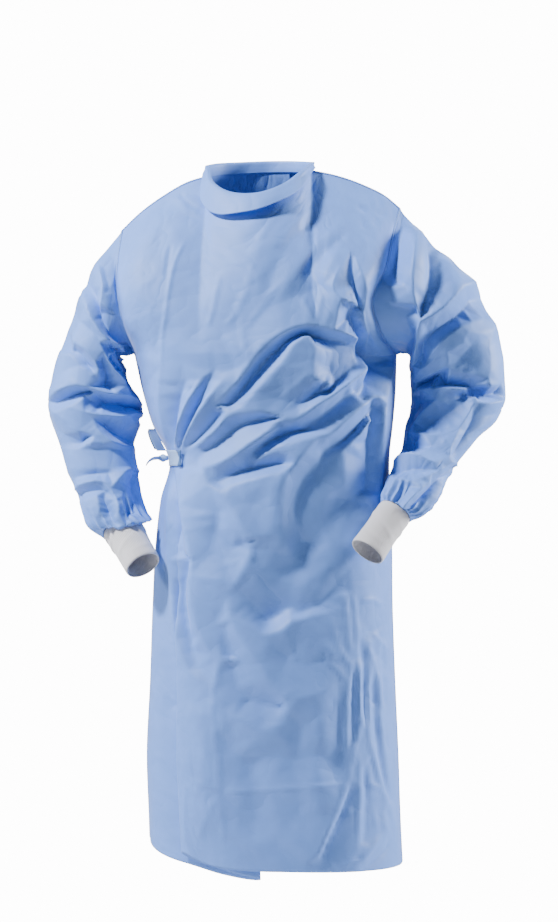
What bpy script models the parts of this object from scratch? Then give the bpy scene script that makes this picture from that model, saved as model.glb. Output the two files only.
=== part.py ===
"""A procedure gown in the shape it has when worn, hollow and open, with nobody in it.

Blender units are metres and +Z is up. The front faces -Y and +X is the wearer's left.
The origin is where the shoulders hold the gown: the middle of the neck opening, level
with the top of the shoulder seams. The tables below are in millimetres.
"""

from collections import namedtuple

import bmesh
import bpy
import numpy as np
from mathutils import Vector

MM = 0.001
WELD = 0.00001

# Cloth and seams
CLOTH = 1.5
KNIT = 1.8
TAPE = 1.2
SEAM_GAP = 0.4
SLEEVE_EASING = 2.0
SEAM_THINNING = 0.7
VALLEY_START = 0.3
VALLEY_SHARE = 8.0
OVERLAP_STEP = 4.0
OVERLAP_END = 0.86
OVERLAP_EASE = 0.12
LAP_TOP_EASE = 30.0
SQUARENESS = 2.35
SHARP = 0.7
SIDE_REACH = 0.52
FRONT_BULGE = 15.0
BACK_BULGE = 14.0

# How finely the panels are divided
SKIRT_ROWS = 22
ARMHOLE_ROWS = 11
SEAM_COLUMNS = 8
COLLAR_COLUMNS = 2
LAP_COLUMNS = 8
NECK_COLUMNS = 12
SLEEVE_RINGS = 22
BACK_COLUMNS = 160
CUFF_RINGS = 3

# Where the levels of the body are
ARMPIT = -268.0
TIE_LEVEL = -423.0

# Shares of the width at which the shoulder seams end and the neckline starts
FRONT_NECK = (0.35, 0.62)
BACK_NECK = (0.35, 0.65)

# The body's horizontal sections: sides, front and back at each height
Section = namedtuple("Section", "height right left front back")
BODY = [
    Section(-1060, -166, 212, -138, 152),
    Section(-960, -169, 207, -142, 150),
    Section(-870, -172, 204, -146, 147),
    Section(-756, -167, 199, -150, 143),
    Section(-640, -163, 195, -154, 138),
    Section(-546, -158, 194, -156, 133),
    Section(-486, -151, 192, -156, 128),
    Section(-423, -138, 190, -152, 122),
    Section(-375, -162, 195, -150, 121),
    Section(-330, -176, 199, -149, 121),
    Section(-268, -190, 201, -147, 122),
]

# Armholes, from the shoulder tip down the front to the armpit and up the back
Point = namedtuple("Point", "x y z")
ARMHOLE_RIGHT_FRONT = [
    Point(-210, 5, -82),
    Point(-215, -34, -125),
    Point(-217, -56, -170),
    Point(-207, -54, -222),
    Point(-190, -12.5, -268),
]
ARMHOLE_RIGHT_BACK = [
    Point(-210, 5, -82),
    Point(-214, 44, -125),
    Point(-213, 66, -172),
    Point(-204, 52, -222),
    Point(-190, -12.5, -268),
]
ARMHOLE_LEFT_FRONT = [
    Point(207, 5, -49),
    Point(193, -42, -100),
    Point(184, -72, -140),
    Point(164, -92, -188),
    Point(177, -72, -234),
    Point(201, -12.5, -268),
]
ARMHOLE_LEFT_BACK = [
    Point(207, 5, -49),
    Point(209, 46, -108),
    Point(208, 70, -160),
    Point(205, 56, -220),
    Point(201, -12.5, -268),
]

# The neckline, clockwise from above: right shoulder, front, left shoulder, back
NECK_FRONT = [
    Point(-80, 3, 0),
    Point(-72, -34, -27),
    Point(-44, -62, -43),
    Point(-8, -74, -43),
    Point(28, -67, -29),
    Point(56, -40, -8),
    Point(74, 3, 8),
]
NECK_BACK = [
    Point(-80, 3, 0),
    Point(-63, 36, 5),
    Point(-30, 55, 8),
    Point(8, 58, 10),
    Point(46, 42, 10),
    Point(74, 3, 8),
]
# The shoulder seams, from the tips to the neck
SHOULDER_RIGHT = [
    Point(-210, 5, -82),
    Point(-183, 5, -56),
    Point(-146, 5, -29),
    Point(-110, 4, -9),
    Point(-80, 3, 0),
]
SHOULDER_LEFT = [
    Point(207, 5, -49),
    Point(184, 5, -30),
    Point(152, 5, -14),
    Point(112, 4, 0),
    Point(74, 3, 8),
]

# The hem's height across the front, by column share, and across the back
Hem = namedtuple("Hem", "share height")
FRONT_HEM = [
    Hem(0.00, -992),
    Hem(0.06, -1010),
    Hem(0.14, -1028),
    Hem(0.26, -1050),
    Hem(0.36, -1030),
    Hem(0.43, -1010),
    Hem(0.53, -1030),
    Hem(0.68, -1038),
    Hem(0.82, -1037),
    Hem(1.00, -1029),
]
BACK_HEM = [Hem(0.0, -992), Hem(0.3, -1024), Hem(0.7, -1034), Hem(1.0, -1029)]

# The lap that hangs from the tie: where each column lies at the hem, and how deep
Lap = namedtuple("Lap", "share turn depth")
LAP = [
    Lap(0.000, 180, 0),
    Lap(0.045, 196, 0),
    Lap(0.090, 210, 5),
    Lap(0.135, 225, 12),
    Lap(0.180, 241, 12),
    Lap(0.225, 256, 12),
    Lap(0.255, 263, 11),
    Lap(0.285, 264, 8),
    Lap(0.315, 256, 6),
    Lap(0.360, 243, 6),
    Lap(0.400, 228, 5),
    Lap(0.430, 224, 2),
    Lap(0.460, 228, 0),
    Lap(0.520, 242, 0),
    Lap(0.620, 265, 0),
    Lap(0.800, 310, 0),
    Lap(1.000, 360, 0),
]
# The same columns above the tie, where the cloth lies in one layer
PLAIN = [Hem(0.0, 180), Hem(0.35, 243), Hem(0.62, 291), Hem(1.0, 360)]

# Columns of the back from the right: the neck's corners and the panels' free edges
Edge = namedtuple("Edge", "height right_neck over under left_neck")
BACK_EDGES = [
    Edge(20, 0.350, 0.43, 0.57, 0.65),
    Edge(-150, 0.320, 0.38, 0.60, 0.66),
    Edge(-268, 0.255, 0.30, 0.62, 0.68),
    Edge(-423, 0.130, 0.16, 0.66, 0.70),
    Edge(-700, 0.125, 0.15, 0.68, 0.72),
    Edge(-1060, 0.125, 0.15, 0.70, 0.74),
]

# Sleeve rings: the outer and inner points of the outline, the depth and its middle
Ring = namedtuple("Ring", "outer_x outer_z inner_x inner_z middle_y half_depth")
SLEEVE_RIGHT = [
    Ring(-250, -134, -210, -274, 4, 69),
    Ring(-282, -206, -198, -294, 12, 72),
    Ring(-301, -254, -194, -311, 18, 71),
    Ring(-315, -300, -188, -330, 22, 68),
    Ring(-319, -337, -181, -352, 22, 64),
    Ring(-312, -374, -184, -374, 16, 60),
    Ring(-301, -412, -190, -412, 6, 55),
    Ring(-290, -448, -184, -446, -6, 52),
    Ring(-275, -480, -177, -477, -18, 49),
    Ring(-263, -508, -171, -503, -30, 46),
    Ring(-249, -532, -171, -516, -38, 41),
    Ring(-235, -545, -183, -512, -42, 31),
]
SLEEVE_LEFT = [
    Ring(240, -86, 218, -270, -4, 80),
    Ring(279, -124, 220, -287, 2, 81),
    Ring(312, -158, 224, -297, 8, 79),
    Ring(330, -190, 225, -309, 14, 76),
    Ring(348, -228, 227, -322, 18, 73),
    Ring(358, -260, 226, -336, 18, 70),
    Ring(363, -296, 221, -352, 14, 67),
    Ring(361, -334, 214, -370, 4, 63),
    Ring(350, -368, 211, -386, -12, 59),
    Ring(323, -394, 208, -404, -34, 54),
    Ring(296, -428, 203, -422, -60, 49),
    Ring(272, -463, 195, -444, -84, 45),
    Ring(254, -490, 188, -466, -104, 41),
    Ring(236, -508, 181, -480, -118, 36),
    Ring(218, -520, 178, -486, -125, 27),
]

# Knit cuffs: the middle of the open end, its half width and its half depth
CuffRing = namedtuple("CuffRing", "x y z half_width half_depth")
CUFF_RIGHT_END = CuffRing(-177, -84, -583, 27, 26)
CUFF_LEFT_END = CuffRing(156, -158, -562, 27, 26)

# Neck binding at each point of the neckline: how far it rises, stands out and drops
Binding = namedtuple("Binding", "share rise out drop")
BINDING = [
    Binding(0.00, 15, 9, 3),
    Binding(0.06, 15, 17, -9),
    Binding(0.13, 16, 21, -19),
    Binding(0.22, 15, 21, -12),
    Binding(0.30, 13, 22, -7),
    Binding(0.38, 12, 20, -6),
    Binding(0.44, 12, 14, 1),
    Binding(0.50, 12, 9, 4),
    Binding(0.65, 13, 7, 3),
    Binding(0.85, 14, 7, 3),
    Binding(1.00, 15, 9, 3),
]

# Large folds seen from the front: three points, the width on each side and the depth.
# A negative depth is a trough.
Fold = namedtuple("Fold", "x0 z0 x1 z1 x2 z2 width_a width_b depth")
BODY_FOLDS = [
    # under the bust, from the left armpit round and down to the tie
    Fold(150, -246, 44, -212, 8, -264, 24, 20, -12),
    Fold(14, -258, -20, -296, -62, -352, 24, 20, -12),
    Fold(76, -236, 82, -290, 52, -340, 26, 26, 7),
    # tension folds that leave the tie upwards
    Fold(-118, -400, -78, -322, 24, -226, 22, 26, 11),
    Fold(-124, -404, -140, -352, -88, -276, 20, 22, -9),
    Fold(-116, -412, -88, -378, -42, -350, 18, 22, -8),
    # tension folds that leave the tie to the left
    Fold(-106, -428, -46, -452, 24, -366, 26, 24, 11),
    Fold(-70, -458, -10, -428, 60, -390, 28, 22, -12),
    # tension folds that leave the tie downwards
    Fold(-110, -440, -68, -462, -22, -546, 24, 26, 12),
    Fold(-126, -440, -116, -520, -96, -640, 18, 22, 11),
    Fold(-133, -440, -126, -540, -118, -700, 18, 18, -10),
    Fold(-140, -440, -138, -560, -136, -760, 18, 20, 9),
    # from the left armpit across the waist
    Fold(158, -284, 104, -334, 42, -374, 24, 24, 10),
    Fold(148, -262, 96, -310, 44, -356, 22, 22, -9),
    Fold(166, -330, 128, -366, 84, -404, 20, 24, 8),
    Fold(176, -340, 176, -420, 176, -500, 24, 20, 9),
    # the large facets over the thighs
    Fold(60, -440, -20, -486, -8, -560, 34, 30, 12),
    Fold(-52, -652, -10, -696, 34, -784, 28, 28, 13),
    Fold(-70, -780, -10, -850, 30, -800, 30, 26, 9),
    Fold(0, -600, 60, -640, 96, -600, 40, 36, -13),
    Fold(44, -690, 62, -740, 40, -790, 26, 24, 8),
    # long hanging folds at the wearer's left
    Fold(122, -560, 146, -760, 148, -1036, 20, 18, 10),
    Fold(160, -640, 168, -820, 176, -1030, 18, 20, -9),
    Fold(96, -940, 118, -990, 84, -1036, 20, 20, -8),
    Fold(140, -840, 116, -930, 74, -1030, 20, 18, 9),
    # the side creases of the chest
    Fold(130, -90, 104, -180, 96, -206, 30, 22, 7),
    Fold(136, -150, 118, -186, 148, -214, 18, 18, -9),
]
SLEEVE_RIGHT_FOLDS = [
    Fold(-234, -120, -222, -168, -186, -226, 20, 20, -11),
    Fold(-262, -168, -228, -226, -192, -290, 22, 22, 10),
    Fold(-318, -336, -270, -280, -214, -318, 22, 22, 11),
    Fold(-308, -352, -254, -322, -190, -344, 22, 22, -12),
    Fold(-280, -390, -232, -350, -190, -398, 22, 22, 9),
    Fold(-262, -412, -226, -398, -188, -440, 20, 20, -9),
    Fold(-282, -452, -246, -452, -222, -470, 20, 20, 8),
    Fold(-240, -450, -214, -470, -200, -512, 18, 18, -8),
]
SLEEVE_LEFT_FOLDS = [
    Fold(210, -74, 226, -116, 204, -156, 20, 22, -12),
    Fold(252, -98, 268, -150, 232, -208, 24, 24, 11),
    Fold(318, -166, 276, -188, 226, -226, 22, 18, 12),
    Fold(312, -190, 276, -222, 236, -268, 20, 22, -12),
    Fold(316, -214, 286, -246, 246, -282, 20, 20, 11),
    Fold(344, -236, 330, -262, 300, -268, 18, 18, -9),
    Fold(226, -318, 274, -296, 340, -316, 20, 22, -12),
    Fold(340, -322, 300, -350, 250, -364, 24, 24, 10),
    Fold(212, -372, 240, -392, 268, -398, 20, 20, -8),
    Fold(296, -402, 262, -420, 230, -452, 18, 18, 8),
]
# Large folds of the back, seen from behind in the same coordinates
BACK_FOLDS = [
    Fold(-150, -410, -70, -350, 60, -240, 26, 26, 10),
    Fold(-150, -430, -60, -400, 90, -340, 26, 26, -9),
    Fold(-150, -446, -40, -470, 110, -430, 28, 28, 10),
    Fold(-146, -460, -80, -600, -60, -800, 26, 26, 9),
    Fold(-110, -520, -30, -700, -10, -1020, 26, 26, -9),
    Fold(40, -560, 50, -760, 50, -1030, 28, 28, 10),
    Fold(120, -540, 118, -760, 110, -1030, 26, 26, 9),
    Fold(-150, -140, -90, -180, -70, -250, 26, 26, 8),
    Fold(150, -130, 90, -190, 60, -260, 26, 26, 8),
]
# The backs of the sleeves have like folds, a little lower and shallower
BEHIND_DROP = 16.0
BEHIND_SHARE = 0.8

GATHERS = 7
GATHER_DEPTH = 3.2

# The waist tie: half its width, and where it leaves the front
TIE_HALF_WIDTH = 12.0
TIE_REACH = -96.0
TIE_EASE = 16.0
TAB_END = 4.2
KNOT_END = 0.5
KNOT = Point(7.0, 9.0, 10.0)
WAIST_MIDDLE = Point(26, -15, -423)
TAIL_HALF_WIDTH = 8.0
TAIL_ACROSS = Point(-0.10, 0.99, 0.05)
TAIL = [
    Point(-156.2, -14, -423),
    Point(-162, -15, -424),
    Point(-168, -17, -427),
    Point(-173, -18, -433),
]
LOOP_HALF_WIDTH = 7.5
LOOP_ACROSS = Point(0.93, 0.36, 0.0)
LOOP = [
    Point(-151.5, -15, -412.4),
    Point(-162, -18, -397),
    Point(-168, -17, -385),
    Point(-170, -12, -380),
    Point(-171, -6, -385),
    Point(-166, -3, -397),
    Point(-158, -5, -409),
]

CLOTH_COLOUR = (0.30, 0.42, 0.65, 1.0)
TAPE_COLOUR = (0.42, 0.55, 0.78, 1.0)
KNIT_COLOUR = (0.72, 0.73, 0.78, 1.0)


def column(rows, name):
    """One named column of a table as an array."""
    return np.array([getattr(row, name) for row in rows], float)


def curve(knots, values, at):
    """A smooth curve through the values at rising knots, read at the places given."""
    knots, values = np.asarray(knots, float), np.asarray(values, float)
    if values.ndim == 1:
        return curve(knots, values[:, None], at)[..., 0]
    slopes = np.gradient(values, knots, axis=0)
    at = np.clip(np.asarray(at, float), knots[0], knots[-1])
    i = np.clip(np.searchsorted(knots, at, side="right") - 1, 0, len(knots) - 2)
    step = (knots[i + 1] - knots[i])[..., None]
    t = (at[..., None] - knots[i][..., None]) / step
    start, end = values[i], values[i + 1]
    rise, fall = slopes[i] * step, slopes[i + 1] * step
    return (
        start * (1 + 2 * t) * (1 - t) ** 2
        + rise * t * (1 - t) ** 2
        + end * t**2 * (3 - 2 * t)
        - fall * t**2 * (1 - t)
    )


def along(points, shares):
    """Points at the given shares of the length of a smooth curve through a table."""
    points = np.array([(p.x, p.y, p.z) for p in points], float)
    spans = np.linalg.norm(np.diff(points, axis=0), axis=1)
    knots = np.concatenate([[0], np.cumsum(spans)]) / spans.sum()
    return curve(knots, points, np.asarray(shares, float))


def power(value, exponent):
    """A signed power."""
    return np.sign(value) * np.abs(value) ** exponent


def body_point(turn, height):
    """The body's surface at a turn in degrees, 0 at the wearer's left and 90 behind."""
    levels, height = column(BODY, "height"), np.asarray(height, float)
    right, left, front, back = (
        curve(levels, column(BODY, name), height) for name in Section._fields[1:]
    )
    turn = np.radians(turn)
    x = (left + right) / 2 + (left - right) / 2 * power(np.cos(turn), 2 / SQUARENESS)
    y = (front + back) / 2 + (back - front) / 2 * power(np.sin(turn), 2 / SQUARENESS)
    return np.stack(np.broadcast_arrays(x, y, height), axis=-1)


def shares_of(low, high, seam, neck):
    """Column places: even steps over the right seam, the neck and the left seam."""
    return np.concatenate(
        [
            np.linspace(0, low, seam + 1)[:-1],
            np.linspace(low, high, neck + 1)[:-1],
            np.linspace(high, 1, seam + 1),
        ]
    )


def top_edge(neck_points, neck, places):
    """The shoulder seams and the neckline between them, at places across the panel."""
    low, high = neck
    right = along(SHOULDER_RIGHT, places / low)
    left = along(SHOULDER_LEFT, (1 - places) / (1 - high))
    line = along(neck_points, (places - low) / (high - low))
    places = places[:, None]
    return np.where(places <= low, right, np.where(places >= high, left, line))


def patch(bottom, top, right, left, bulge):
    """A surface between four edges, rows going up, pushed out by bulge in its middle.

    The side edges pull on the surface only as far as its middle.
    """
    rows, columns = len(right), len(bottom)
    up = np.linspace(0, 1, rows)[:, None, None]
    over = np.linspace(0, 1, columns)[None, :, None]
    ruled = (1 - up) * bottom[None] + up * top[None]
    pull_right = 1 - eased(over / SIDE_REACH)
    pull_left = 1 - eased((1 - over) / SIDE_REACH)
    surface = (
        ruled
        + pull_right * (right[:, None] - ruled[:, :1])
        + pull_left * (left[:, None] - ruled[:, -1:])
    )
    crown = np.sin(np.pi * up) * np.sin(np.pi * over) ** 0.6
    return surface + crown * np.array([0.0, bulge, 0.0])


def eased(value):
    """0 below 0, 1 above 1 and a smooth step between."""
    value = np.clip(value, 0, 1)
    return value * value * (3 - 2 * value)


def front_grid():
    """The front panel, hem to neckline, with the lap that hangs from the tie."""
    places = shares_of(*FRONT_NECK, SEAM_COLUMNS, NECK_COLUMNS)
    plain = np.interp(places, column(PLAIN, "share"), column(PLAIN, "height"))
    lapped = curve(column(LAP, "share"), column(LAP, "turn"), places)
    depth = curve(column(LAP, "share"), column(LAP, "depth"), places)
    hem = curve(column(FRONT_HEM, "share"), column(FRONT_HEM, "height"), places)
    rows = []
    for up in np.linspace(0, 1, SKIRT_ROWS + 1)[:-1] ** 1.04:
        height = hem * (1 - up) + ARMPIT * up
        opened = np.clip((TIE_LEVEL - 20 - height) / 560, 0, 1)
        turn = plain * (1 - opened) + lapped * opened
        sunk = depth * np.clip(opened * 3, 0, 1)
        rows.append(sink(body_point(turn, height), turn, sunk))
    bottom = body_point(plain, ARMPIT)
    shares = np.linspace(1, 0, ARMHOLE_ROWS + 1)
    upper = patch(
        bottom,
        top_edge(NECK_FRONT, FRONT_NECK, places),
        along(ARMHOLE_RIGHT_FRONT, shares),
        along(ARMHOLE_LEFT_FRONT, shares),
        -FRONT_BULGE,
    )
    return np.concatenate([np.array(rows), upper])


def sink(points, turn, depth):
    """Points moved towards the body's axis by depth."""
    turn = np.radians(turn)
    inward = np.stack([-np.cos(turn), -np.sin(turn), np.zeros_like(turn)], axis=-1)
    return points + inward * depth[:, None]


def back_places(level):
    """Column places across the back at one height, shared by both back panels.

    They run from the right seam over the outer panel's free edge and the inner
    panel's free edge to the left seam, and reach the neck's corners at the top.
    """
    heights = column(BACK_EDGES, "height")[::-1]
    keys = [curve(heights, column(BACK_EDGES, name)[::-1], level) for name in Edge._fields[1:]]
    stops = np.array([0.0, *keys, 1.0])
    counts = [SEAM_COLUMNS, COLLAR_COLUMNS, LAP_COLUMNS, COLLAR_COLUMNS, SEAM_COLUMNS]
    return np.interp(np.arange(sum(counts) + 1), np.cumsum([0, *counts]), stops)


def back_surface():
    """The whole folded back, every column and row, with its normals."""
    levels = np.linspace(0, 1, SKIRT_ROWS + 1)[:-1] ** 1.04
    hem_level = BACK_HEM[1].height
    rows, places_of_rows = [], []
    for up in levels:
        places = back_places(hem_level * (1 - up) + ARMPIT * up)
        hem = curve(column(BACK_HEM, "share"), column(BACK_HEM, "height"), places)
        rows.append(body_point(180 * (1 - places), hem * (1 - up) + ARMPIT * up))
        places_of_rows.append(places)
    fine = np.linspace(0, 1, BACK_COLUMNS + 1)
    fine[np.abs(fine - BACK_NECK[0]).argmin()] = BACK_NECK[0]
    shares = np.linspace(1, 0, ARMHOLE_ROWS + 1)
    upper = patch(
        body_point(180 * (1 - fine), ARMPIT),
        top_edge(NECK_BACK, BACK_NECK, fine),
        along(ARMHOLE_RIGHT_BACK, shares),
        along(ARMHOLE_LEFT_BACK, shares),
        BACK_BULGE,
    )
    for k, row in enumerate(upper):
        share = k / ARMHOLE_ROWS
        places = back_places(ARMPIT * (1 - share) + BACK_EDGES[0].height * share)
        rows.append(read_row(row, fine, places))
        places_of_rows.append(places)
    surface = np.array(rows)
    normals = normals_of(surface, False, -1)
    fade = edge_fade(surface, "right left top") * flat_at_tie(surface)
    return np.array(places_of_rows), folded(surface, normals, BACK_FOLDS, 1, fade), normals


def back_grids():
    """Both back panels: the inner one from the right seam and the outer one over it."""
    places, surface, normals = back_surface()
    from_top = edge_fade(surface, "top", LAP_TOP_EASE)
    outward = normals * np.stack([1 + 0 * from_top, 1 + 0 * from_top, from_top], axis=-1)
    outward /= np.linalg.norm(outward, axis=-1, keepdims=True)
    step = OVERLAP_STEP * np.clip((OVERLAP_END - places) / OVERLAP_EASE, 0, 1)
    start = SEAM_COLUMNS + COLLAR_COLUMNS
    under = surface[:, : start + LAP_COLUMNS + 1]
    over = (surface + outward * step[..., None])[:, start:]
    return under, over


def read_row(row, places, wanted):
    """Values of a row between its places."""
    return np.stack([np.interp(wanted, places, row[:, axis]) for axis in range(3)], axis=-1)


def sleeve_grid(armhole_front, armhole_back, rings, cuff_ring):
    """A sleeve from its armhole to the seam of its cuff, one row for each ring."""
    shares = np.linspace(0, 1, ARMHOLE_ROWS + 1)
    front = along(armhole_front, shares)
    back = along(armhole_back, shares[::-1])
    sections = [np.concatenate([front[:-1], back[:-1]])]
    angle = np.arange(2 * ARMHOLE_ROWS) * np.pi / ARMHOLE_ROWS
    for ring in rings:
        sections.append(ring_points(ring, angle))
    sections[-1] = cuff_ring(angle)
    sections = np.array(sections)
    steps = np.linalg.norm(np.diff(sections.mean(axis=1), axis=0), axis=1)
    knots = np.concatenate([[0], np.cumsum(steps)])
    at = np.linspace(0, knots[-1], SLEEVE_RINGS + 1)
    flat = curve(knots, sections.reshape(len(sections), -1), at)
    grid = flat.reshape(len(at), -1, 3)
    return gathered(grid, at / knots[-1], angle)


def gathered(grid, share, angle):
    """A sleeve with its end drawn up in gathers that die out up the arm."""
    middle_line = grid.mean(axis=1, keepdims=True)
    out = grid - middle_line
    out /= np.linalg.norm(out, axis=-1, keepdims=True)
    near = np.clip((share - 0.84) / 0.12, 0, 1) * np.clip((1 - share) / 0.03, 0, 1)
    wave = GATHER_DEPTH * near[:, None] * np.cos(GATHERS * angle)[None]
    return grid + out * wave[..., None]


def ring_points(ring, angle):
    """A sleeve section through its outer, front, inner and back points."""
    outer = np.array([ring.outer_x, ring.middle_y, ring.outer_z], float)
    inner = np.array([ring.inner_x, ring.middle_y, ring.inner_z], float)
    centre, half = (outer + inner) / 2, (outer - inner) / 2
    across = power(np.cos(angle), 2 / 2.2)[:, None] * half
    forward = power(np.sin(angle), 2 / 2.2)[:, None] * np.array([0.0, -ring.half_depth, 0.0])
    return centre + across + forward


def cuff_frame(last, end):
    """The start, run and half width of a cuff that continues a sleeve's last ring."""
    start = np.array([(last.outer_x + last.inner_x) / 2, last.middle_y,
                      (last.outer_z + last.inner_z) / 2])
    run = np.array([end.x, end.y, end.z]) - start
    width = np.array([last.outer_x - last.inner_x, 0.0, last.outer_z - last.inner_z]) / 2
    return start, run, width


def cuff_points(last, end, share, angle):
    """One ring of a cuff, at a share of its length."""
    start, run, width = cuff_frame(last, end)
    ahead = run / np.linalg.norm(run)
    width = width - ahead * (width @ ahead)
    half = np.linalg.norm(width) * (1 - share) + end.half_width * share
    half = half - 1.5 * np.sin(np.pi * share)
    depth = last.half_depth * (1 - share) + end.half_depth * share
    width = width / np.linalg.norm(width)
    front = np.cross(width, ahead)
    front *= np.sign(-front[1])
    rim = np.cos(angle)[:, None] * width * half + np.sin(angle)[:, None] * front * depth
    return start + run * share + rim


def cuff_grid(last, end):
    """A knit cuff as a tube from the sleeve's end to its open mouth."""
    angle = np.arange(2 * ARMHOLE_ROWS) * np.pi / ARMHOLE_ROWS
    shares = np.linspace(0, 1, CUFF_RINGS + 1)
    return np.array([cuff_points(last, end, share, angle) for share in shares])


def binding_grid():
    """The neck binding, a strip folded over the neckline and round the neck."""
    front = along(NECK_FRONT, np.linspace(0, 1, NECK_COLUMNS + 1))[:-1]
    back = along(NECK_BACK, np.linspace(1, 0, NECK_COLUMNS + 1))[:-1]
    seam = np.concatenate([front, back])
    share = np.arange(len(seam)) / len(seam)
    rise, out, drop = (
        curve(column(BINDING, "share"), column(BINDING, name), share)
        for name in Binding._fields[1:]
    )
    radial = seam - np.array([-3.0, -4.0, 0.0])
    radial[:, 2] = 0
    radial /= np.linalg.norm(radial, axis=1, keepdims=True)
    up = np.array([0.0, 0.0, 1.0])
    # the root clears the panels' top edge, which stands a wall's thickness inwards
    root = seam + up * (SEAM_GAP + 0.4) + radial * 0.2
    lifted = seam + up * rise[:, None]
    return np.array(
        [
            root,
            (root + lifted) / 2 - radial * 1.0,
            lifted - radial * 0.5,
            lifted + radial * 3.5 + up * 0.6,
            lifted + radial * (out * 0.62)[:, None] + up * ((drop - rise) * 0.4)[:, None],
            seam + radial * out[:, None] + up * drop[:, None],
        ]
    )


def bezier(fold, steps=15):
    """Points along a fold's curve, in the plane seen from the front."""
    t = np.linspace(0, 1, steps)[:, None]
    a, b, c = (
        np.array([x, z], float)
        for x, z in ((fold.x0, fold.z0), (fold.x1, fold.z1), (fold.x2, fold.z2))
    )
    b = 2 * b - (a + c) / 2
    return a * (1 - t) ** 2 + 2 * b * t * (1 - t) + c * t**2


def fold_height(fold, places):
    """How far one fold lifts each place of the plane seen from the front."""
    line = bezier(fold)
    starts, runs = line[:-1], np.diff(line, axis=0)
    offset = places[:, None] - starts[None]
    t = np.clip((offset * runs).sum(-1) / (runs**2).sum(-1), 0, 1)
    away = offset - t[..., None] * runs
    distance = np.linalg.norm(away, axis=-1)
    nearest = distance.argmin(axis=1)
    pick = np.arange(len(places))
    near = distance[pick, nearest]
    run, gap = runs[nearest], away[pick, nearest]
    side = np.sign(run[:, 0] * gap[:, 1] - run[:, 1] * gap[:, 0])
    width = np.where(side > 0, fold.width_a, fold.width_b)
    slope = np.clip(1 - near / width, 0, 1)
    profile = 0.5 * slope + 0.5 * slope**2 * (3 - 2 * slope)
    share = (nearest + t[pick, nearest]) / len(runs)
    fade = np.clip(share / 0.22, 0, 1) * np.clip((1 - share) / 0.3, 0, 1)
    return fold.depth * profile * fade**0.7


def folded(grid, normals, folds, facing, fade):
    """A grid lifted along its normals by the folds on the side that it faces."""
    flat, lean = grid.reshape(-1, 3), normals.reshape(-1, 3)
    lift = np.zeros(len(flat))
    places = flat[:, [0, 2]]
    for fold in folds:
        lift += fold_height(fold, places)
    seen = np.clip(facing * lean[:, 1] * 1.6, 0, 1)
    lift *= seen * fade.reshape(-1)
    return (flat + lean * lift[:, None]).reshape(grid.shape)


def behind(folds):
    """Folds for the far side of a sleeve, lower and shallower than the near ones."""
    return [
        fold._replace(
            z0=fold.z0 - BEHIND_DROP,
            z1=fold.z1 - BEHIND_DROP,
            z2=fold.z2 - BEHIND_DROP,
            depth=fold.depth * BEHIND_SHARE,
        )
        for fold in folds
    ]


def normals_of(grid, closed, outward):
    """Unit normals of a grid; outward is 1 or -1 and says which side is outside."""
    if closed:
        over = np.roll(grid, -1, axis=1) - np.roll(grid, 1, axis=1)
    else:
        over = np.gradient(grid, axis=1)
    up = np.gradient(grid, axis=0)
    normal = np.cross(over, up) * outward
    length = np.linalg.norm(normal, axis=-1, keepdims=True)
    return normal / np.maximum(length, 1e-9)


def edge_fade(grid, seams, margin=16.0):
    """1 inside a panel and 0 at its sewn edges, over a margin in millimetres."""
    rows, columns = grid.shape[:2]
    over = np.linalg.norm(np.diff(grid, axis=1), axis=-1)
    up = np.linalg.norm(np.diff(grid, axis=0), axis=-1)
    from_bottom = np.concatenate([np.zeros((1, columns)), np.cumsum(up, axis=0)])
    from_right = np.concatenate([np.zeros((rows, 1)), np.cumsum(over, axis=1)], axis=1)
    distance = {
        "bottom": from_bottom,
        "top": from_bottom[-1:] - from_bottom,
        "right": from_right,
        "left": from_right[:, -1:] - from_right,
    }
    fade = np.ones((rows, columns))
    for edge in seams.split():
        fade *= np.clip(distance[edge] / margin, 0, 1)
    return fade


def flat_at_tie(grid):
    """0 where the tie presses the cloth flat at the waist's right side, 1 elsewhere."""
    from_tie = np.abs(grid[..., 2] - TIE_LEVEL) - TIE_HALF_WIDTH
    from_side = grid[..., 0] - TIE_REACH
    return eased(np.maximum(from_tie, from_side) / TIE_EASE)


class Panel:
    """A piece of cloth as a grid of points, the folds in it and its wall."""

    def __init__(self, name, grid, outward, closed=False, thickness=CLOTH, seams="",
                 look="cloth", easing=1.0):
        self.name, self.grid, self.outward, self.closed = name, grid, outward, closed
        self.easing = easing
        self.thickness, self.seams, self.look = thickness, seams, look
        self.normals = normals_of(grid, closed, outward)

    def fold(self, folds, facing):
        """Lifts the panel's folds along its own normals, away from its seams."""
        fade = edge_fade(self.grid, self.seams) * flat_at_tie(self.grid)
        self.grid = folded(self.grid, self.normals, folds, facing, fade)
        self.normals = normals_of(self.grid, self.closed, self.outward)


def share_seam_normals(panels):
    """Gives panels that meet at a seam the same normal there, so their edges match.

    In a deep valley, as under the arm, each keeps most of its own.
    """
    total = {}
    for panel in panels:
        for place, normal in zip(panel.grid.reshape(-1, 3), panel.normals.reshape(-1, 3)):
            key = tuple(np.round(place, 2))
            total[key] = total.get(key, 0) + normal
    for panel in panels:
        shared = np.array([total[tuple(np.round(p, 2))] for p in panel.grid.reshape(-1, 3)])
        shared /= np.maximum(np.linalg.norm(shared, axis=1, keepdims=True), 1e-9)
        own = panel.normals.reshape(-1, 3)
        lean = 1 - (own * shared).sum(axis=1, keepdims=True)
        mixed = shared + own * np.clip((lean - VALLEY_START) * VALLEY_SHARE, 0, 2)
        mixed /= np.linalg.norm(mixed, axis=1, keepdims=True)
        panel.normals = mixed.reshape(panel.grid.shape)


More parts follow.
